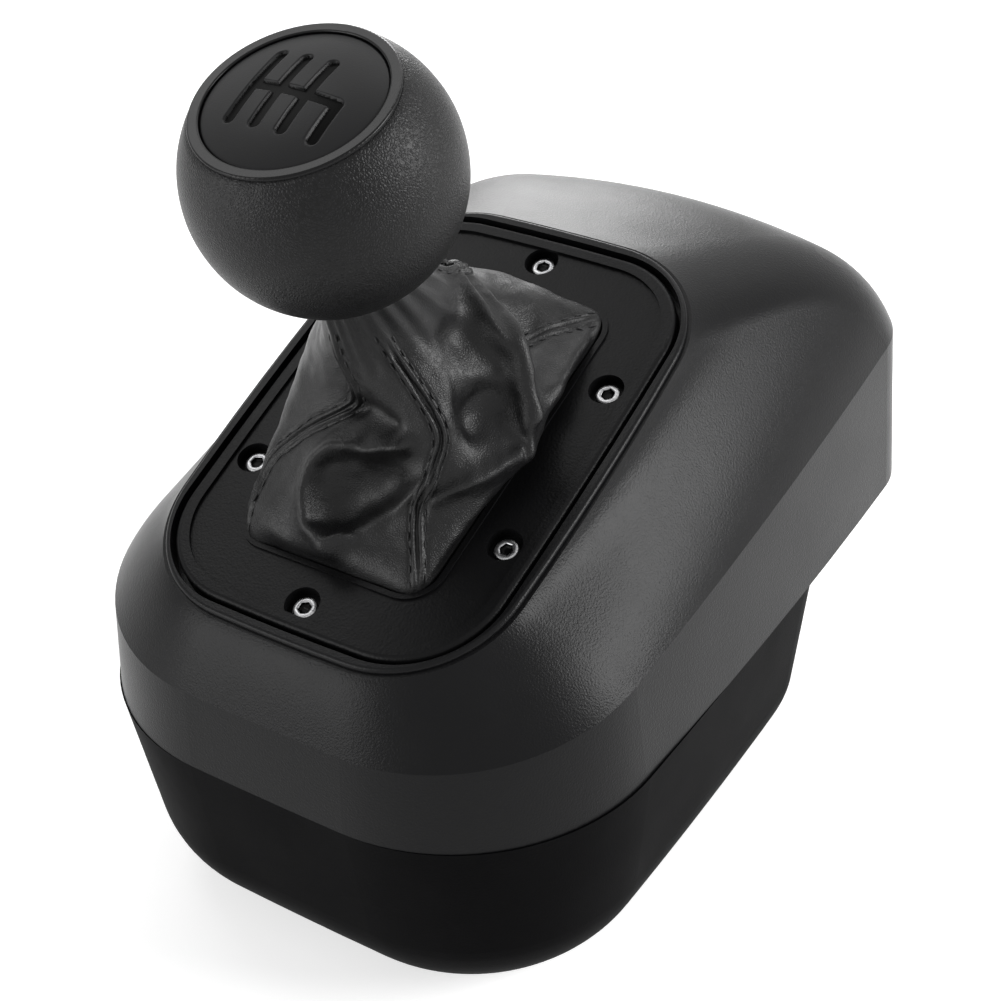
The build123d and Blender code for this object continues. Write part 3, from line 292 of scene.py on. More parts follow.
def worked_metal(name, colour, worn, roughness, grain=0.5, depth=0.01):
    """Metal whose corners and scratches show the worn colour."""
    tree, shader = new_finish(name, {"Metallic": 1.0})
    texture = place_group(tree, "moulded grain", {"Grain size": grain, "Unevenness": 0.3})
    marks = place_group(tree, "handling marks")
    share = maths(tree, "MAXIMUM", marks["Edge"], maths(tree, "MULTIPLY", marks["Scratch"], 0.4))
    tree.links.new(mix_colours(tree, share, colour, worn), shader.inputs["Base Color"])
    smudged = maths(tree, "MULTIPLY_ADD", marks["Smudge"], 0.08, roughness)
    tree.links.new(maths(tree, "ADD", texture["Roughness shift"], smudged), shader.inputs["Roughness"])
    add_bump(tree, shader, texture["Height"], depth)


def leather(name, colour, crease_colour, pebble, depth, roughness, shine=0.35):
    """Pebbled hide, darker in its creases and lighter and glossier where it is handled."""
    tree, shader = new_finish(name, {"Specular IOR Level": shine})
    hide = place_group(tree, "leather grain", {"Pebble size": pebble})
    toned = mix_colours(tree, hide["Tone"], crease_colour, colour)
    worn = tuple(c * 1.2 for c in colour)
    share = maths(tree, "MULTIPLY", hide["Wear"], 0.6)
    tree.links.new(mix_colours(tree, share, toned, worn), shader.inputs["Base Color"])
    rough = maths(tree, "MULTIPLY_ADD", hide["Wear"], -0.03, roughness)
    tree.links.new(rough, shader.inputs["Roughness"])
    add_bump(tree, shader, hide["Height"], depth)


# %% [markdown]
# The finishes of the real object. Nearly everything that shows is black, so what tells the pieces
# apart is grain and gloss: a satin etched housing, a drier plate, soft leather, and bright plated
# screws.

# %% Finishes
# colour, roughness, size and depth of the grain, shine
plastics = {
    "housing black": ((0.005, 0.005, 0.0054), 0.31, 0.42, 0.05, 0.12),
    "base black": ((0.0015, 0.0015, 0.0017), 0.56, 0.42, 0.03, 0.02),
    "plate black": ((0.004, 0.004, 0.0043), 0.36, 0.55, 0.06, 0.1),
    "ring black": ((0.003, 0.003, 0.0033), 0.25, 0.8, 0.01, 0.18),
    "cap satin": ((0.007, 0.007, 0.0075), 0.38, 0.3, 0.012, 0.16),
    "pattern gloss": ((0.001, 0.001, 0.001), 0.3, 1.2, 0.004, 0.04),
    "knob plastic": ((0.012, 0.012, 0.012), 0.5, 0.6, 0.03),
    "inner nylon": ((0.03, 0.03, 0.032), 0.5, 0.8, 0.05),
    "rubber": ((0.018, 0.018, 0.018), 0.72, 0.7, 0.08, 0.25),
    "white nylon": ((0.72, 0.7, 0.64), 0.42, 0.9, 0.02, 0.5),
    "chip resin": ((0.02, 0.02, 0.022), 0.5, 0.25, 0.02, 0.4),
    "sensor blue": ((0.02, 0.06, 0.16), 0.35, 1.0, 0.02, 0.5),
}
# colour, colour in the creases, size and depth of the pebbles, roughness, shine
hides = {
    "boot leather": ((0.007, 0.007, 0.0075), (0.004, 0.004, 0.004), 0.5, 0.035, 0.39, 0.26),
    "knob leather": ((0.009, 0.009, 0.0095), (0.004, 0.004, 0.004), 0.6, 0.06, 0.38, 0.18),
    "thread": ((0.02, 0.02, 0.021), (0.006, 0.006, 0.006), 0.25, 0.05, 0.55),
}
# colour, worn colour, roughness, size and depth of the grain
metals = {
    "plated steel": ((0.5, 0.5, 0.52), (0.7, 0.7, 0.7), 0.26),
    "screw steel": ((0.26, 0.26, 0.27), (0.55, 0.55, 0.55), 0.3),
    "blackened steel": ((0.035, 0.035, 0.037), (0.35, 0.34, 0.33), 0.4),
    # painted shade: a near-black finish for the inside of the sockets, standing in for the shadow deep in the
    # hexagon
    "oiled socket": ((0.008, 0.008, 0.008), (0.1, 0.1, 0.1), 0.4),
    "spring steel": ((0.42, 0.42, 0.43), (0.7, 0.7, 0.7), 0.3),
    "cast zinc": ((0.46, 0.47, 0.48), (0.72, 0.72, 0.73), 0.5, 1.2, 0.05),
    "sheet steel": ((0.55, 0.56, 0.57), (0.8, 0.8, 0.8), 0.34, 0.8, 0.02),
    "bush bronze": ((0.42, 0.25, 0.09), (0.75, 0.52, 0.25), 0.38),
    "insert brass": ((0.62, 0.45, 0.16), (0.85, 0.68, 0.35), 0.3),
}
for make, table in ((moulded_plastic, plastics), (leather, hides), (worked_metal, metals)):
    for name, values in table.items():
        make(name, *values)
print("finishes:", len(bpy.data.materials))

# %% [markdown]
# The circuit board is glass cloth under green lacquer, with copper tracks that show as a lighter
# green. Deep inside the housing a brick pattern with soft joints can stand in for real tracks.

# %% Finish: circuit board
tree, shader = new_finish("circuit board", {"Roughness": 0.35, "Specular IOR Level": 0.5})
place = add_node(tree, "TexCoord").outputs["Object"]
bricks = {"Scale": 220.0, "Mortar Size": 0.06, "Mortar Smooth": 0.2, "Brick Width": 1.3, "Row Height": 0.5}
tracks = add_node(tree, "TexBrick", {"Vector": place, **bricks})
weave = place_group(tree, "moulded grain", {"Grain size": 0.4})
green = mix_colours(tree, tracks.outputs["Fac"], (0.012, 0.085, 0.035), (0.03, 0.17, 0.07))
tree.links.new(green, shader.inputs["Base Color"])
height = maths(tree, "MULTIPLY_ADD", tracks.outputs["Fac"], 1.5, weave["Height"])
add_bump(tree, shader, height, 0.03)
print("finishes with the circuit board:", len(bpy.data.materials))

# %% [markdown]
# Rigid pieces keep their exact solids, and only take the finish of what they are made of.

# %% Finishes on the rigid pieces
piece_finishes = {
    "housing black": ["upper_shell"],
    "base black": ["lower_shell"],
    "plate black": ["face_plate", "boot_frame"],
    "ring black": ["knob_ring"],
    "knob plastic": ["knob_core", "boot_collar", "left_clamp_knob", "right_clamp_knob"],
    "inner nylon": ["lever_hub", "left_clamp_jaw", "right_clamp_jaw"],
    "rubber": ["table_pads", "cable_grommet", "left_jaw_pad", "right_jaw_pad"],
    "white nylon": ["board_header"],
    "chip resin": ["control_chip", "reverse_switch"],
    "sensor blue": ["fore_aft_pot", "left_right_pot"],
    "blackened steel": ["case_screws", "retaining_clip", "left_clamp_ring", "right_clamp_ring"],
    "plated steel": ["lever_rod", "left_clamp_screw", "right_clamp_screw", "hub_pins", "board_screws"],
    "sheet steel": [
        "gate_plate", "fore_aft_bracket", "left_right_bracket", "spring_collar",
        "left_clamp_nut", "right_clamp_nut",
    ],
    "cast zinc": ["mechanism_frame", "yoke"],
    "bush bronze": ["pivot_bushes"],
    "insert brass": ["rig_inserts", "knob_insert"],
    "circuit board": ["circuit_board", "switch_board"],
}
for finish, names in piece_finishes.items():
    for name in names:
        mesh = nodes[name].data
        mesh.materials.clear()
        mesh.materials.append(bpy.data.materials[finish])
covered = {name for names in piece_finishes.values() for name in names}
print("pieces that get a new mesh:", sorted(set(nodes) - covered))

# %% [markdown]
# Most new pieces come from rows of points: a tube, a shell or a revolved profile is a grid that
# closes on itself.

# %% Helpers: a mesh from a grid of points
def new_piece(name, points, faces, finish):
    """An object with a smooth mesh and the finish of that name."""
    mesh = bpy.data.meshes.new(name)
    mesh.from_pydata([tuple(p) for p in points], [], faces)
    mesh.validate()
    mesh.shade_smooth()
    mesh.materials.append(bpy.data.materials[finish])
    made = bpy.data.objects.new(name, mesh)
    scene.collection.objects.link(made)
    return made


def grid_faces(rows, columns, first=0):
    """Quads between rows of points, each row closed on itself."""
    return [
        (
            first + r * columns + c,
            first + r * columns + (c + 1) % columns,
            first + (r + 1) * columns + (c + 1) % columns,
            first + (r + 1) * columns + c,
        )
        for r in range(rows - 1)
        for c in range(columns)
    ]


def end_caps(first, last, columns):
    """The two faces that close a grid's first and last row."""
    return [tuple(first + c for c in reversed(range(columns))), tuple(last + c for c in range(columns))]


# %% [markdown]
# The boot is a gaiter of soft leather, cut as four panels and sewn at its corners. It is clamped
# under the face plate at the bottom and tied to the lever at the top, and because it must let the
# lever swing, it is cut too large and falls into folds. Cloth simulation would give folds, but not
# these ones. So the folds are drawn: sixteen lines run up the leather, each through eight points
# on the deck, and a smooth surface passes through them all.

# %% The boot's lines
boot_foot = -4.6
boot_rim = 0.15
boot_top = 46.5
boot_lines = [
    # near left seam
    [(-21.9, -38), (-22, -34, 4), (-20.6, -25.5, 9), (-12.8, -19.2, 15),
     (-1.6, -14.3, 23), (-2.8, -12.6, 35), (-3.4, -10.9)],
    # near panel
    [(-12, -39.8), (-12.5, -38.4, 4.5), (-11.4, -32, 9), (-9.5, -25, 14),
     (3, -16, 22), (0.2, -13, 35), (-0.8, -11.3)],
    [(0, -39.8), (0.3, -38.6, 4), (0.5, -32, 7), (1, -24.5, 13),
     (8, -17, 21), (3, -12.5, 35), (1.6, -11.2)],
    [(12, -39.8), (12.2, -37, 3.5), (11.5, -29.5, 7), (10.5, -21.5, 14),
     (13.5, -15.5, 22), (6.2, -11, 35), (4, -10.3)],
    # near right seam
    [(21.9, -38), (20.8, -35, 3), (16.4, -25.4, 8.5), (18.2, -18.2, 15),
     (18.4, -13.6, 22), (9.2, -9.2, 35), (6.4, -8.8)],
    # right panel
    [(23.5, -24), (24.8, -23, 3.5), (23.4, -17, 9), (22.3, -11.5, 15),
     (20, -9, 22), (11.6, -5, 34), (8.9, -6.5)],
    [(23.5, -8), (28.4, -7, 5), (27, -4.2, 10), (22, -4.5, 16),
     (20, -3.5, 22), (13, -0.5, 33), (10.6, -3)],
    [(23.5, 4), (30.2, -2, 6), (29.6, -0.2, 11), (26.4, 4.6, 18),
     (22.6, 8.8, 24.5), (14, 7, 32), (11, 1)],
    [(23.5, 18), (25.2, 14, 4), (22.4, 12, 8), (18, 12, 14),
     (15.5, 13.5, 25), (10, 12.5, 33), (9.8, 4.8)],
    # far right seam
    [(21.9, 38), (19.4, 34.2, 2.4), (15.8, 27.6, 5.5), (12, 19.8, 9),
     (6.6, 17.6, 29), (6.6, 14.2, 35), (7.3, 8)],
    # far panel
    [(9, 39.8), (9.8, 38.4, 4.5), (7.6, 34, 8), (4.8, 25.6, 16),
     (2.4, 19, 28), (3.2, 13.2, 36), (3.8, 10.4)],
    [(-7, 39.8), (-7, 38.8, 5), (-5.6, 35.2, 10), (-4, 27, 18),
     (-3, 18.8, 27), (-1.2, 13.2, 36), (-0.4, 11.2)],
    # far left seam
    [(-21.9, 38), (-21.4, 35.6, 3.5), (-18.8, 29.8, 9), (-14.4, 22, 17),
     (-10, 15.2, 26), (-7, 10.6, 35), (-5.4, 9.8)],
    # left panel
    [(-23.5, 21), (-25.2, 20, 4), (-23.2, 17.5, 10), (-20, 13, 18),
     (-16.5, 9, 26), (-12, 6, 35), (-9.2, 6)],
    [(-23.5, 1), (-26, 0.5, 4.5), (-25, -1, 11), (-22.6, -2.6, 19),
     (-18.2, -2.4, 27), (-13, -1.6, 35), (-10.9, 1)],
    [(-23.5, -19), (-25.4, -18.6, 4), (-24.2, -17.2, 10), (-20, -14.4, 17),
     (-14, -11, 25), (-9.2, -8.6, 35), (-8.4, -5.6)],
]
seam_columns = (0, 4, 9, 12)
row_ends = {0: boot_foot, 1: boot_rim, 7: boot_top}


def filled_in(line):
    """A line's eight points: its first place serves at the foot and at the rim."""
    spots = enumerate([line[0], *line])
    return [Vector((p[0], p[1], p[2] if len(p) > 2 else row_ends[i])) for i, p in spots]


boot_cage = [filled_in(line) for line in boot_lines]
print("boot lines:", len(boot_cage), "of", len(boot_cage[0]), "points")

# %% [markdown]
# Between the drawn lines the surface is a Catmull-Rom spline in both directions: it passes through
# each point and turns smoothly there. A place on it is given as u round the boot and v up it.

# %% The boot's smooth surface
def spline_shares(t):
    """Shares of the four points round a place that is t of the way along the middle span."""
    return (
        ((-t + 2) * t - 1) * t / 2,
        ((3 * t - 5) * t * t + 2) / 2,
        ((-3 * t + 4) * t + 1) * t / 2,
        (t - 1) * t * t / 2,
    )


def boot_place(u, v):
    """Point of the smooth boot, in millimetres on the deck, at column u and row v."""
    columns, rows = len(boot_cage), len(boot_cage[0])
    column, across_share = int(u // 1), u % 1
    row = min(int(v), rows - 2)
    found = Vector((0, 0, 0))
    for i, share_u in enumerate(spline_shares(across_share)):
        line = boot_cage[(column + i - 1) % columns]
        for k, share_v in enumerate(spline_shares(v - row)):
            found += line[max(0, min(rows - 1, row + k - 1))] * (share_u * share_v)
    return found


boot_rows, boot_around = 140, 448
grid_u = [len(boot_cage) * c / boot_around for c in range(boot_around)]
grid_v = [(len(boot_cage[0]) - 1) * r / (boot_rows - 1) for r in range(boot_rows)]
boot_points = np.array([[boot_place(u, v) for u in grid_u] for v in grid_v])
print("boot surface:", boot_points.shape[0] * boot_points.shape[1], "points")


def boot_normals(points):
    """Outward direction at every point of the grid."""
    around = np.roll(points, -1, axis=1) - np.roll(points, 1, axis=1)
    upward = np.gradient(points, axis=0)
    upward[:2] = (0, 0, 1)
    normals = np.cross(around, upward)
    return normals / (np.linalg.norm(normals, axis=2, keepdims=True) + 1e-9)


# %% [markdown]
# Sharper folds follow lines of their own. Each is a run of points on the leather with a width and
# a height, positive for a ridge and negative for a crease. The points were read off, so they float
# a little over the leather or under it, and each line is first laid on it.

# %% Ridges and creases
folds = [
    # height, width, sharpness, points
    (3.8, 2.2, 1.2, [(4.4, -34.4, 5), (0.5, -38, 5), (-5, -36.4, 7), (-7.6, -31.6, 11),
                     (-7.2, -26, 15), (-3.5, -22.2, 18), (4.4, -21.4, 18), (11.4, -18.4, 19)]),
    (2.4, 2.2, 1.2, [(4.4, -34.4, 5), (12.1, -25.3, 8), (17, -21, 12)]),
    (-3.6, 6, 0.9, [(2, -29, 8), (8, -25, 11)]),
    (-2.6, 1.8, 1.4, [(-1, -13.6, 20), (4, -14.5, 22), (9.5, -16, 21)]),
    (3.4, 2, 1.4, [(4.5, 19.3, 30), (13, 14.5, 27.5), (22.4, 9.4, 24), (26.4, 5, 18.5),
                   (28.4, 0.6, 12)]),
    (2.6, 2, 1.2, [(0, 10.6, 30), (12, 10, 28), (23.7, 7.4, 22)]),
    (2.6, 2.2, 1.2, [(28.4, -5, 7.5), (24, -12, 8), (18, -21, 8)]),
    (-3.6, 6, 0.9, [(19, -6, 17), (22, -1, 17)]),
    (-2.4, 4, 0.9, [(12, 17, 20), (18, 14, 16)]),
    (-2.2, 4.5, 0.9, [(12, 4, 27), (20, 4, 22)]),
    (1.8, 2.4, 1.2, [(24.5, 30, 2), (27, 14, 6)]),
]


def distance_to_line(points, line):
    """Least distance from each point to a run of straight pieces."""
    least = np.full(points.shape[:2], 1e9)
    for start, end in zip(line, line[1:]):
        start, end = np.array(start, float), np.array(end, float)
        run = end - start
        share = np.clip(((points - start) @ run) / (run @ run), 0, 1)
        nearest = start + share[..., None] * run
        least = np.minimum(least, np.linalg.norm(points - nearest, axis=2))
    return least


def laid_on(points, line, step=1.5):
    """A line's own points and others between them, each moved to the nearest point of the leather."""
    flat = points.reshape(-1, 3)
    laid = []
    for start, end in zip(line, line[1:]):
        start, end = np.array(start, float), np.array(end, float)
        pieces = max(1, round(np.linalg.norm(end - start) / step))
        for k in range(pieces + 1):
            spot = start + (end - start) * k / pieces
            nearest = flat[np.argmin(((flat - spot) ** 2).sum(axis=1))]
            if not laid or np.linalg.norm(nearest - laid[-1]) > step / 3:
                laid.append(nearest)
    return laid


print("folds drawn:", len(folds))

# %% [markdown]
# Near a line the leather moves out or in along its own normal, and where ridges meet, the highest
# counts. Then each point is eased towards its neighbours, which rounds what is too sharp for
# leather. The rim under the plate and the tied neck stay as they are.

# %% Press the folds in
fold_falloff = 1.2
relax_rounds, relax_share = 8, 0.7
rim_fade, neck_start, neck_fade = 3.0, 40.0, 6.0
smooth_boot = boot_points.copy()
raised, sunk = np.zeros(smooth_boot.shape[:2]), np.zeros(smooth_boot.shape[:2])
clear_of_rim = np.clip((smooth_boot[..., 2] - boot_rim) / rim_fade, 0, 1)
clear_of_rim *= np.clip((neck_start - smooth_boot[..., 2]) / neck_fade, 0, 1)
outward = boot_normals(smooth_boot)
for height, width, sharpness, line in folds:
    reach = distance_to_line(smooth_boot, laid_on(smooth_boot, line)) / width
    lift = height * np.exp(-(reach ** (2 / sharpness)) * fold_falloff)
    raised, sunk = np.maximum(raised, lift), np.minimum(sunk, lift)
boot_points = smooth_boot + outward * ((raised + sunk) * clear_of_rim)[..., None]
for _ in range(relax_rounds):
    beside = (np.roll(boot_points, 1, axis=1) + np.roll(boot_points, -1, axis=1)) / 2
    above_below = boot_points.copy()
    above_below[1:-1] = (boot_points[:-2] + boot_points[2:]) / 2
    boot_points += ((beside + above_below) / 2 - boot_points) * (relax_share * clear_of_rim)[..., None]
print("leather moved by up to", round(float(np.abs(boot_points - smooth_boot).max()), 1), "mm")

# %% [markdown]
# A lapped seam has its two edges turned under and sewn down on both sides of the joint, so the
# leather stands up in two soft rolls with a narrow groove between them, and each row of stitches
# pulls it down a little.

# %% Seams
roll_height, roll_reach, roll_width = 0.6, 0.8, 0.42
groove_depth, groove_width = 0.3, 0.3
pull_depth, pull_width = 0.2, 0.35
stitch_reach = 1.7
stitch_pitch, stitch_length = 3.1, 2.3
stitch_radius, stitch_lift = 0.24, 0.05
seam_places = [round(boot_around * column / len(boot_cage)) for column in seam_columns]
outward = boot_normals(boot_points)
sewn = boot_points.copy()
for at in seam_places:
    reach = distance_to_line(boot_points, boot_points[::2, at])
    rolls = roll_height * np.exp(-(((reach - roll_reach) / roll_width) ** 2))
    groove = groove_depth * np.exp(-((reach / groove_width) ** 2))
    pull = pull_depth * np.exp(-(((reach - stitch_reach) / pull_width) ** 2))
    sewn += outward * ((rolls - groove - pull) * clear_of_rim)[..., None]
boot_points = sewn
print("seams:", len(seam_places))

# %% [markdown]
# Leather is never quite smooth between its folds. A little soft noise, larger towards the gathered
# neck, gives the small dimples and tucks.

# %% Small dimples and the gathered neck
dimple_sizes = ((0.16, 0.35), (0.42, 0.12))     # how close together, and how deep in millimetres
tucks, tuck_depth, tuck_start, tuck_span = 17, 0.5, 30.0, 13.0
outward = boot_normals(boot_points)
for r in range(boot_rows):
    for c in range(boot_around):
        spot = Vector(boot_points[r, c])
        soft = sum(noise.noise(spot * closeness) * depth for closeness, depth in dimple_sizes)
        turn_share = c / boot_around
        up_share = max(0.0, min(1.0, (spot.z - tuck_start) / tuck_span))
        tuck = sin(turn_share * tau * tucks) * tuck_depth * up_share * (1 - 0.5 * up_share)
        boot_points[r, c] += outward[r, c] * (soft * clear_of_rim[r, c] + tuck)
print("boot reaches", round(float(boot_points[..., 0].max()), 1), "mm to the right")

# %% [markdown]
# The leather has to follow the lever. The boot is cut level into three pieces: the lowest lies
# between the housing and the yoke, the next between the yoke and the hub, and the neck between the
# hub and the lever, which slides down for reverse. Each piece has the leather's thickness, and all
# three take their normals from the uncut surface, so that the cuts don't show.

# %% Cut the boot
leather_thickness = 0.8
boot_cuts = (21.0, 35.0)
boot_bodies = (("housing", "yoke"), ("yoke", "lever_hub"), ("lever_hub", "lever"))
skirt_start = 1.5
cut_heights = (skirt_start, *boot_cuts, boot_top)

whole = bmesh.new()
corners = [whole.verts.new(deck(*p)) for p in boot_points.reshape(-1, 3)]
for face in grid_faces(boot_rows, boot_around):
    whole.faces.new([corners[i] for i in face])
for height in boot_cuts:
    everything = whole.verts[:] + whole.edges[:] + whole.faces[:]
    bmesh.ops.bisect_plane(whole, geom=everything, plane_co=deck(0, 0, height), plane_no=deck_up)
whole.normal_update()
whole.verts.ensure_lookup_table()


def height_of(point):
    return (point - deck_origin).dot(deck_up) / mm


def shell_piece(name, faces, finish):
    """A piece of the boot with the leather's thickness and the whole boot's normals."""
    used = sorted({v.index for f in faces for v in f.verts})
    number = {index: i for i, index in enumerate(used)}
    outer = [whole.verts[i].co.copy() for i in used]
    normals = [whole.verts[i].normal.copy() for i in used]
    inner = [p - n * leather_thickness * mm for p, n in zip(outer, normals)]
    count = len(used)
    made, edge_uses = [], {}
    for f in faces:
        corners = [number[v.index] for v in f.verts]
        made.append(tuple(corners))
        made.append(tuple(i + count for i in reversed(corners)))
        for a, b in zip(corners, corners[1:] + corners[:1]):
            edge_uses[(a, b)] = 1
    for a, b in edge_uses:
        if (b, a) not in edge_uses:
            made.append((b, a, a + count, b + count))
    piece = new_piece(name, outer + inner, made, finish)
    both_sides = [tuple(n) for n in normals] + [tuple(-n) for n in normals]
    piece.data.normals_split_custom_set_from_vertices(both_sides)
    return piece


def follow_lever(piece):
    """Bakes a piece's placement into its own mesh."""
    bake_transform(piece)


whole.verts.index_update()
for i in range(len(boot_bodies)):
    start = -100 if i == 0 else cut_heights[i]
    end = 100 if i == 2 else cut_heights[i + 1]
    faces = [f for f in whole.faces if start < height_of(f.calc_center_median()) <= end]
    piece = shell_piece(("boot_skirt", "boot_middle", "boot_neck")[i], faces, "boot leather")
    follow_lever(piece)
    print(piece.name, "faces", len(piece.data.polygons))
whole.free()
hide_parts("boot")

# %% [markdown]
# The thread shows as a row of short stitches on each side of a seam. Each is a small bent capsule
# that dips into the leather at both ends, laid along the seam's line and turned to the leather's
# own surface.

# %% Stitches
# share of the length, share of the radius, and how far the thread stands up or sinks
stitch_rings = (
    (-0.5, 0.35, -0.9), (-0.25, 0.95, 0.1), (0.0, 1.0, 0.35), (0.25, 0.95, 0.1), (0.5, 0.35, -0.9)
)
stitch_sides, stitch_search = 6, 16


def stitch_mesh(points, faces, middle, ahead, up, length):
    """Adds one stitch: a six-sided bar that is thick in the middle and sinks at its ends."""
    radius = stitch_radius * mm
    side = ahead.cross(up).normalized()
    first = len(points)
    for along_share, thick, sink in stitch_rings:
        centre = middle + ahead * (length * along_share) + up * (radius * sink)
        points += [centre + swung(side, up, angle) * radius * thick for angle in turns_of(stitch_sides)]
    last = first + (len(stitch_rings) - 1) * stitch_sides
    faces += grid_faces(len(stitch_rings), stitch_sides, first)
    faces += end_caps(first, last, stitch_sides)


def in_world(direction):
    """A direction on the deck, turned into the frame's own."""
    return (deck_across * direction.x + deck_ahead * direction.y + deck_up * direction.z).normalized()


outward = boot_normals(boot_points)
thread_pieces = [([], []) for _ in boot_bodies]
stitch_count = 0
for at in seam_places:
    for side in (-1, 1):
        path, ups = [], []
        for r in range(boot_rows):
            base = boot_points[r, at]
            for step in range(1, stitch_search):
                spot = boot_points[r, (at + side * step) % boot_around]
                if np.linalg.norm(spot - base) >= stitch_reach:
                    break
            path.append(Vector(spot))
            ups.append(Vector(outward[r, (at + side * step) % boot_around]))
        travelled = 0.0
        for r in range(1, boot_rows):
            travelled += (path[r] - path[r - 1]).length
            if travelled >= stitch_pitch and boot_rim + 1.0 < path[r].z < neck_start:
                travelled = 0.0
                ahead = in_world((path[min(r + 2, boot_rows - 1)] - path[max(r - 2, 0)]).normalized())
                up = in_world(ups[r])
                zone = 0 if path[r].z < boot_cuts[0] else 1 if path[r].z < boot_cuts[1] else 2
                points, faces = thread_pieces[zone]
                middle = deck(*path[r]) + up * stitch_lift * mm
                stitch_mesh(points, faces, middle, ahead, up, stitch_length * mm)
                stitch_count += 1
for i, (points, faces) in enumerate(thread_pieces):
    piece = new_piece(("thread_low", "thread_middle", "thread_top")[i], points, faces, "thread")
    follow_lever(piece)
print("stitches:", stitch_count)

# %% [markdown]
# The knob's cover is a thicker leather, stretched wet over the ball and sewn closed down the side
# that faces away from the driver's arm. It is revolved from a profile that rolls in under the trim
# ring and gathers at the neck.

# %% Knob cover
knob_height = 73.0
knob_radius = 27.2
ring_reach = 20.3
neck_reach = 10.9
cover_depth = 1.0
knob_columns, knob_rows = 192, 96
ring_angle = asin(ring_reach / knob_radius)
neck_angle = pi - asin(neck_reach / knob_radius)
seam_turn = radians(118)
cover_sink = 0.12
edge_roll_depth, ring_roll, neck_roll = 0.35, 0.012, 0.02     # the widths are shares of the way down
seam_depth, seam_width = 0.45, 0.35
swell_height, swell_away, swell_width = 0.12, 1.0, 0.7
gathers, gather_depth, gather_share = 26, 0.18, 0.18
hide_lumps, lump_height = 120, 0.06


def on_ring(reach, angle, up):
    """Point in metres on a level ring round the knob's middle."""
    return deck(reach * cos(angle), reach * sin(angle), knob_height + up)


def knob_point(angle, from_top, radius):
    return on_ring(radius * sin(from_top), angle, radius * cos(from_top))


def bump_at(away, width):
    """1 on a line and near 0 further off than its width."""
    return exp(-((away / width) ** 2))


cover_points = []
for r in range(knob_rows):
    share = r / (knob_rows - 1)
    from_top = ring_angle + (neck_angle - ring_angle) * share
    edge_roll = edge_roll_depth * (bump_at(share, ring_roll) + bump_at(1 - share, neck_roll))
    gathered = gather_depth * max(0.0, (share - 1 + gather_share) / gather_share) ** 2
    for angle in turns_of(knob_columns):
        turned = abs((angle - seam_turn + pi) % tau - pi)
        away = turned * knob_radius * sin(from_top)
        seam = swell_height * bump_at(away - swell_away, swell_width) - seam_depth * bump_at(away, seam_width)
        gather = gathered * sin(angle * gathers)
        lump = lump_height * noise.noise(knob_point(angle, from_top, knob_radius) * hide_lumps)
        radius = knob_radius - cover_sink - edge_roll + seam + gather + lump
        cover_points.append(knob_point(angle, from_top, radius))
inner_first = len(cover_points)
for r in range(knob_rows):
    from_top = ring_angle + (neck_angle - ring_angle) * r / (knob_rows - 1)
    cover_points += [knob_point(a, from_top, knob_radius - cover_depth) for a in turns_of(knob_columns)]
cover_faces = [tuple(reversed(f)) for f in grid_faces(knob_rows, knob_columns)]
cover_faces += grid_faces(knob_rows, knob_columns, inner_first)
for row, flip in ((0, False), (knob_rows - 1, True)):
    for c in range(knob_columns):
        after = (c + 1) % knob_columns
        a, b = row * knob_columns + c, row * knob_columns + after
        quad = (a, b, b + inner_first, a + inner_first)
        cover_faces.append(tuple(reversed(quad)) if flip else quad)
knob_leather = new_piece("knob_leather", cover_points, cover_faces, "knob leather")
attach(knob_leather, "lever")
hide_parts("knob_cover")
print("knob cover points:", len(cover_points))

# %% [markdown]
# The cover's seam is closed with cross stitches: short bars that lean one way and then the other
# over the joint.

# %% Knob stitches
points, faces = [], []
knob_stitches, knob_stitch_length = 22, 2.6
end_room, small_turn, stitch_lean = 0.08, 0.02, 0.55
for i in range(knob_stitches):
    from_top = ring_angle + end_room + (neck_angle - ring_angle - 2 * end_room) * i / (knob_stitches - 1)
    middle = knob_point(seam_turn, from_top, knob_radius + 0.02)
    up = (middle - deck(0, 0, knob_height)).normalized()
    down = (knob_point(seam_turn, from_top + small_turn, knob_radius) - middle).normalized()
    side = down.cross(up).normalized()
    for lean in (-stitch_lean, stitch_lean):
        ahead = (side + down * lean).normalized()
        stitch_mesh(points, faces, middle, ahead, up, knob_stitch_length * mm)
knob_thread = new_piece("knob_thread", points, faces, "thread")
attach(knob_thread, "lever")
print("knob stitches:", 2 * knob_stitches)

# %% [markdown]
# The cap is a low dome of satin plastic with the gears' pattern moulded into it: a bar, three
# upper legs and four lower ones, as channels with round ends and a glossy bed. A bump would look
# flat from the side, so the dome is a round grid whose height drops inside the channels, and the
# faces of their bed take the glossy finish.

# %% Knob cap
cap_reach = 17.85
cap_edge_up, cap_crown_up, cap_foot_up = 18.0, 20.6, 16.0
cap_rim_drop, cap_rim_width = 0.25, 0.5
cap_rings, cap_columns = 96, 300
channel_depth, channel_reach, channel_slope = 0.7, 1.35, 0.4
leg_reach = 8.5
pattern_columns, reverse_column = (-8.2, -2.3, 3.6), 10.2
pattern_lines = [((x, -leg_reach), (x, leg_reach)) for x in pattern_columns]
pattern_lines += [
    ((pattern_columns[0], 0.0), (reverse_column, 0.0)),
    ((reverse_column, 0.0), (reverse_column, -leg_reach)),
]


def channel_distance(x, y):
    """Least distance in millimetres from a place on the cap to a line of the pattern."""
    spot, found = Vector((x, y)), []
    for start, end in pattern_lines:
        start, end = Vector(start), Vector(end)
        run = end - start
        share = max(0.0, min(1.0, (spot - start).dot(run) / run.dot(run)))
        found.append((spot - start - run * share).length)
    return min(found)


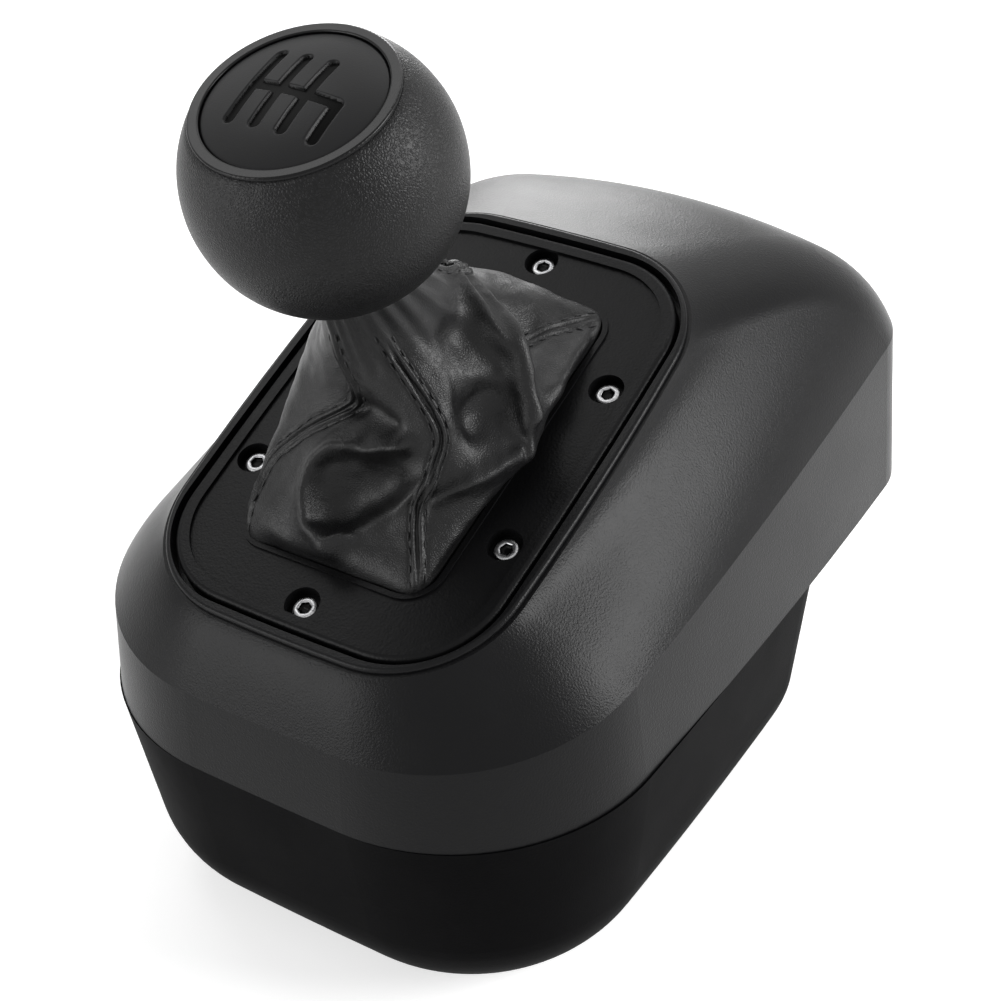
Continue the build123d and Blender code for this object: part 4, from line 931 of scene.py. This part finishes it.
points, distances = [deck(0, 0, knob_height + cap_crown_up - channel_depth)], [channel_distance(0, 0)]
for r in range(1, cap_rings):
    reach = cap_reach * r / (cap_rings - 1)
    dome_up = cap_crown_up - (cap_crown_up - cap_edge_up) * (reach / cap_reach) ** 2
    dome_up -= cap_rim_drop * max(0.0, (reach - cap_reach + cap_rim_width) / cap_rim_width) ** 2
    for angle in turns_of(cap_columns):
        x, y = reach * cos(angle), reach * sin(angle)
        away = channel_distance(x, y)
        wall = max(0.0, min(1.0, (channel_reach - away) / channel_slope))
        points.append(deck(x, y, knob_height + dome_up - channel_depth * wall * wall * (3 - 2 * wall)))
        distances.append(away)
last = 1 + (cap_rings - 2) * cap_columns
points += [on_ring(cap_reach, a, cap_foot_up) for a in turns_of(cap_columns)]
faces = [(0, 1 + c, 1 + (c + 1) % cap_columns) for c in range(cap_columns)]
faces += [tuple(reversed(f)) for f in grid_faces(cap_rings, cap_columns, 1)]
faces.append(tuple(last + cap_columns + c for c in reversed(range(cap_columns))))
knob_cap = new_piece("knob_cap_dome", points, faces, "cap satin")
knob_cap.data.materials.append(bpy.data.materials["pattern gloss"])
bed_reach, bed_faces = channel_reach - channel_slope * 0.4, 0
for face in knob_cap.data.polygons:
    if max(face.vertices) < len(distances) and max(distances[i] for i in face.vertices) < bed_reach:
        face.material_index = 1
        bed_faces += 1
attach(knob_cap, "lever")
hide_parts("knob_cap", "shift_pattern")
print("faces in the pattern's bed:", bed_faces)

# %% [markdown]
# Socket screws are turned from bar, with a knurled head and a pressed hexagon. The head's edge is
# chamfered, and that small bright ring is what shows in the photograph. They are built here as one
# mesh for each set, on the same places as their solids, and the inside of each socket is painted
# near black as shade.

# %% Socket screws
head_radius, shank_radius, socket = 2.75, 1.5, 2.5
knurl_depth, chamfer = 0.05, 0.32
corner_share = 0.5774     # a hexagon's corner from its middle, as a share of its width across the flats


def screw_points(points, faces, seat, ahead, side, up, head_height, shank_length):
    """Adds one socket screw whose head stands on its seat, and returns the faces inside its socket."""
    around = 48
    socket_rings = 8
    first = len(points)
    # radius, height, and 1 for a knurled ring or 2 for a hexagonal one
    rings = [
        (shank_radius * 0.7, -shank_length, 0),
        (shank_radius, -shank_length + shank_radius * 0.3, 0),
        (shank_radius, 0, 0),
        (head_radius - 0.15, 0, 1),
        (head_radius, 0.15, 1),
        (head_radius, head_height - 0.35, 1),
        (head_radius - chamfer, head_height, 0),
        (socket * 0.66, head_height, 0),
        (socket * 0.60, head_height - 0.12, 2),
        (socket * corner_share, head_height - 0.3, 2),
        (socket * corner_share, head_height * 0.35, 2),
        (socket * 0.2, head_height * 0.28, 0),
    ]
    for radius, height, kind in rings:
        for c, angle in enumerate(turns_of(around)):
            reach = radius
            if kind == 1 and c % 2:
                reach -= knurl_depth
            if kind == 2:
                fold = (angle + pi / 6) % (pi / 3) - pi / 6
                reach = radius * cos(pi / 6) / cos(fold)
            points.append(seat + swung(ahead, side, angle) * reach * mm + up * height * mm)
    socket_start = len(faces) + socket_rings * around
    faces += grid_faces(len(rings), around, first)
    socket_faces = [*range(socket_start, len(faces)), len(faces) + 1]
    faces += end_caps(first, first + (len(rings) - 1) * around, around)
    return socket_faces


plate_seat, plate_head, plate_shank = -3.4, 1.1, 8.0
plate_screw_places = [(0, -49.5), (0, 49.5), (32.3, -21.5), (-32.3, -21.5), (32.3, 21.5), (-32.3, 21.5)]
points, faces, in_shade = [], [], []
for i, (x, y) in enumerate(plate_screw_places):
    ahead = swung(deck_across, deck_ahead, radians(17 * i))
    side = deck_up.cross(ahead)
    seat = deck(x, y, plate_seat)
    in_shade += screw_points(points, faces, seat, ahead, side, deck_up, plate_head, plate_shank)
plate_sockets = new_piece("plate_socket_screws", points, faces, "screw steel")
# painted shade: the faces inside each socket take the near-black finish
plate_sockets.data.materials.append(bpy.data.materials["oiled socket"])
for index in in_shade:
    plate_sockets.data.polygons[index].material_index = 1
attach(plate_sockets, "housing")
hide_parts("plate_screws")

gate_seat, gate_head, gate_shank = -77.0, 2.0, 6.0
gate_screw_places = [(x, y) for x in (-22.8, 22.8) for y in (-16.5, 16.5)]
points, faces = [], []
for x, y in gate_screw_places:
    seat = deck(x, y, gate_seat)
    screw_points(points, faces, seat, deck_across, deck_ahead, deck_up, gate_head, gate_shank)
gate_sockets = new_piece("gate_socket_screws", points, faces, "blackened steel")
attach(gate_sockets, "housing")
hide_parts("gate_screws")
print("socket screws:", len(plate_screw_places) + len(gate_screw_places))

# %% [markdown]
# Two coil springs work inside. The reverse spring stands round the lever on the hub and is pressed
# shorter as the lever goes down, and here it rides on the hub. The centring spring is a torsion
# spring round the rear pin. Each is a wire swept along a helix whose end turns lie close and flat.

# %% Coil springs
def coil(name, base, axis, side, radius, wire, length, turns):
    """A compression coil with closed ends, along an axis from its base."""
    steps, sides = int(turns * 28), 8
    other = axis.cross(side)
    end_turns = 1.0
    closed_rise = wire * 1.05
    open_rise = (length - wire - 2 * end_turns * closed_rise) / (turns - 2 * end_turns)
    points = []
    for i in range(steps + 1):
        turn_now = turns * i / steps
        if turn_now < end_turns:
            rise = turn_now * closed_rise
        elif turn_now > turns - end_turns:
            rise = length - wire - (turns - turn_now) * closed_rise
        else:
            rise = end_turns * closed_rise + (turn_now - end_turns) * open_rise
        out = swung(side, other, tau * turn_now)
        centre = base + (out * radius + axis * (rise + wire / 2)) * mm
        points += [centre + swung(out, axis, a) * wire / 2 * mm for a in turns_of(sides)]
    faces = grid_faces(steps + 1, sides) + end_caps(0, steps * sides, sides)
    return new_piece(name, points, faces, "spring steel")


pivot_height = -38.0
coil_foot = deck(0, 0, pivot_height + 15.0)
reverse_length, push_travel = 18.0, 6.0
reverse_coil = coil(
    "reverse_coil", coil_foot, deck_up, deck_across,
    radius=6.5, wire=1.5, length=reverse_length, turns=7,
)
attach(reverse_coil, "lever_hub")
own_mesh(reverse_coil)
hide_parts("reverse_spring")
centring_coil = coil(
    "centring_coil", deck(0, 20.4, pivot_height), deck_ahead, deck_across,
    radius=4.2, wire=1.2, length=5.2, turns=3.6,
)
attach(centring_coil, "yoke")
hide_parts("centring_spring")
print("springs:", reverse_coil.name, centring_coil.name)

# %% [markdown]
# The studio is a pale floor that goes on past the picture's edge, and a plain world. The camera
# sees both as white, and so do glossy and clear surfaces, but the light that falls on the object
# stays at a plain level.

# %% Floor and world
floor_size = 6.0
floor_glow = 0.58
lighting_strength, shown_strength = 0.35, 1.0


def seen_or_mirrored(tree):
    """1 for the rays that the camera, gloss and clear pieces send out, and 0 for the rest."""
    path = add_node(tree, "LightPath").outputs
    mirrored = maths(tree, "MAXIMUM", path["Is Glossy Ray"], path["Is Transmission Ray"])
    return maths(tree, "MAXIMUM", path["Is Camera Ray"], mirrored)


corners = [(x * floor_size, y * floor_size, 0) for x, y in ((-1, -1), (1, -1), (1, 1), (-1, 1))]
pale, white = (0.8, 0.8, 0.8, 1.0), (1.0, 1.0, 1.0, 1.0)
plain = {"Base Color": pale, "Roughness": 0.9, "Specular IOR Level": 0.0, "Emission Color": white}
tree, shader = new_finish("floor white", plain)
floor = new_piece("floor", corners, [(0, 1, 2, 3)], "floor white")
glow = maths(tree, "MULTIPLY", seen_or_mirrored(tree), floor_glow)
tree.links.new(glow, shader.inputs["Emission Strength"])

world = bpy.data.worlds.new("studio")
scene.world = world
world.use_nodes = True
tree = world.node_tree
background = tree.nodes["Background"]
background.inputs["Color"].default_value = white
added = shown_strength - lighting_strength
strength = maths(tree, "MULTIPLY_ADD", seen_or_mirrored(tree), added, lighting_strength)
tree.links.new(strength, background.inputs["Strength"])
print("world:", world.name)

# %% [markdown]
# Soft boxes are large area lamps. The key light stands to the right and beyond the object, where
# its reflection runs down the housing's right flank. A weaker one behind the driver opens the
# shadows on the boot and the knob, one on the left brings out the plate's slope, and two beyond
# the object draw its far edge.

# %% Lamps
object_middle = Vector((0.0, 0.0, 0.09))


def soft_box(name, place, size, power):
    """A round area lamp that points at the object's middle."""
    data = bpy.data.lights.new(name, "AREA")
    data.shape = "DISK"
    data.size = size
    data.energy = power
    made = bpy.data.objects.new(name, data)
    scene.collection.objects.link(made)
    made.location = place
    made.visible_camera = False
    made.rotation_mode = "QUATERNION"
    made.rotation_quaternion = (object_middle - Vector(place)).to_track_quat("-Z", "Y")


soft_box("key light", (1.12, 0.46, 0.58), 0.70, 17.5)
soft_box("top light", (-0.15, 0.75, 1.05), 0.8, 2.5)
soft_box("back light", (-0.65, 1.0, 0.36), 0.5, 3.5)
soft_box("fill light", (-0.60, -1.03, 0.38), 0.8, 7.0)
soft_box("left light", (-0.72, 0.20, 1.16), 0.5, 1.8)
scene.view_settings.view_transform = "Standard"
print("lamps:", len(bpy.data.lights))
